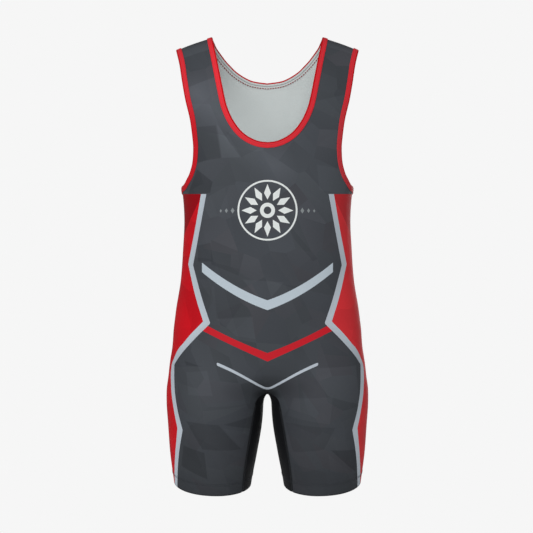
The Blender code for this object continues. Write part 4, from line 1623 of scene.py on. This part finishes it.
def hem_row(front, back, side, height):
    """A line round the leg at an even height over its hem."""
    outer = hem_line(front["thigh"][0], side[0], HEM_POINTS, 1)
    rear = hem_line(back["thigh"][0], side[0], HEM_POINTS, -1)
    inner = hem_line(front["thigh"][0], back["thigh"][0], THIGH_POINTS, -1)
    loop = np.vstack([outer, rear[-2:0:-1], inner[:0:-1]])
    return even_loop(loop + np.array([0.0, 0.0, height]), LOOP_STEP)


def both_sides(lines):
    return list(lines) + [flip_x(line)[::-1] for line in lines]


def sew_seams(front, back, side, looks):
    """The flat seams and the hems, as pieces in two lists, one for the front and one for the back."""
    shoulder = []
    for line in both_sides([shoulder_line(front)]):
        for offset in SHOULDER_ROWS:
            shoulder.append(open_row(moved_over(line, offset, 1), SHOULDER_LIFT, SHOULDER_STITCH))
    thighs, gusset, sides, hems = [], [], [], []
    for seam in (front["thigh"], back["thigh"]):
        for line in both_sides([stretch_of(seam, SEAM_FROM, -CROTCH_END)]):
            thighs += flat_seam(line)
        for line in both_sides([stretch_of(seam, running(seam)[-1] - CROTCH_END, -MIDDLE_GAP)]):
            gusset += flat_seam(line)
    gusset += flat_seam(crotch_line(front, back))
    for line in both_sides([stretch_of(side, SEAM_FROM, -NECK_BAND)]):
        sides += flat_seam(line)
    for height in (HEM_ROW, HEM_ROW + HEM_ROWS_APART):
        loop = hem_row(front, back, side, height)
        hems += [closed_row(half, THREAD_LIFT, HEM_STITCH) for half in (loop, flip_x(loop))]
    of_front = [
        stitches("shoulder_seams", shoulder, looks["black_thread"], BOLD_THREAD),
        stitches("thigh_seams", thighs, looks["grey_thread"]),
        stitches("crotch_seams", gusset, looks["black_thread"]),
    ]
    of_back = [
        stitches("side_seams", sides, looks["red_thread"]),
        stitches("hem_rows", hems, looks["hem_thread"]),
    ]
    return of_front, of_back


def make_panels(front, back, side, looks):
    """The front and the back, and the seams and hems sewn on them."""
    front_cloth = panel("front_cloth", -1, front, side, [looks["front"], looks["wrong"]], "front_panel")
    back_cloth = panel("back_cloth", 1, back, side, [looks["back"], looks["wrong"]], "back_panel")
    of_front, of_back = sew_seams(front, back, side, looks)


def make_thighs(front, back, looks):
    """The black piece on the inside of each leg."""
    black = [looks["black"], looks["wrong_black"]]
    for label, sign in (("left", 1), ("right", -1)):
        node = "inner_thigh_" + label
        piece = thigh("thigh_cloth_" + label, sign, front["thigh"], back["thigh"], black, node)


def make_neck(front, back, looks):
    """The neck binding and its stitches."""
    neck = even_loop(neck_loop(front, back), LOOP_STEP)
    strip = [looks["neck_strip"], looks["neck_inside"]]
    piece = binding("neck_strip", neck, -1, NECK_BAND, strip, "neck_binding")
    rows = sew_binding("neck", neck, -1, NECK_BAND, looks)


def make_armholes(front, back, looks):
    """Both armhole bindings and their stitches."""
    arm = even_loop(arm_loop(front, back), LOOP_STEP)
    strip = [looks["arm_strip"], looks["arm_inside"]]
    for label, loop, turn in (("left", arm, 1), ("right", flip_x(arm), -1)):
        piece = binding("arm_strip_" + label, loop, turn, ARM_BAND, strip, "armhole_binding_" + label)
        rows = sew_binding("armhole_" + label, loop, turn, ARM_BAND, looks)


def main():
    set_colours()
    looks = build_materials()
    front, back, side = pattern_of(-1), pattern_of(1), side_seam()
    make_panels(front, back, side, looks)
    make_thighs(front, back, looks)
    make_neck(front, back, looks)
    make_armholes(front, back, looks)
    make_floor()
    light_studio()
    make_camera()


main()
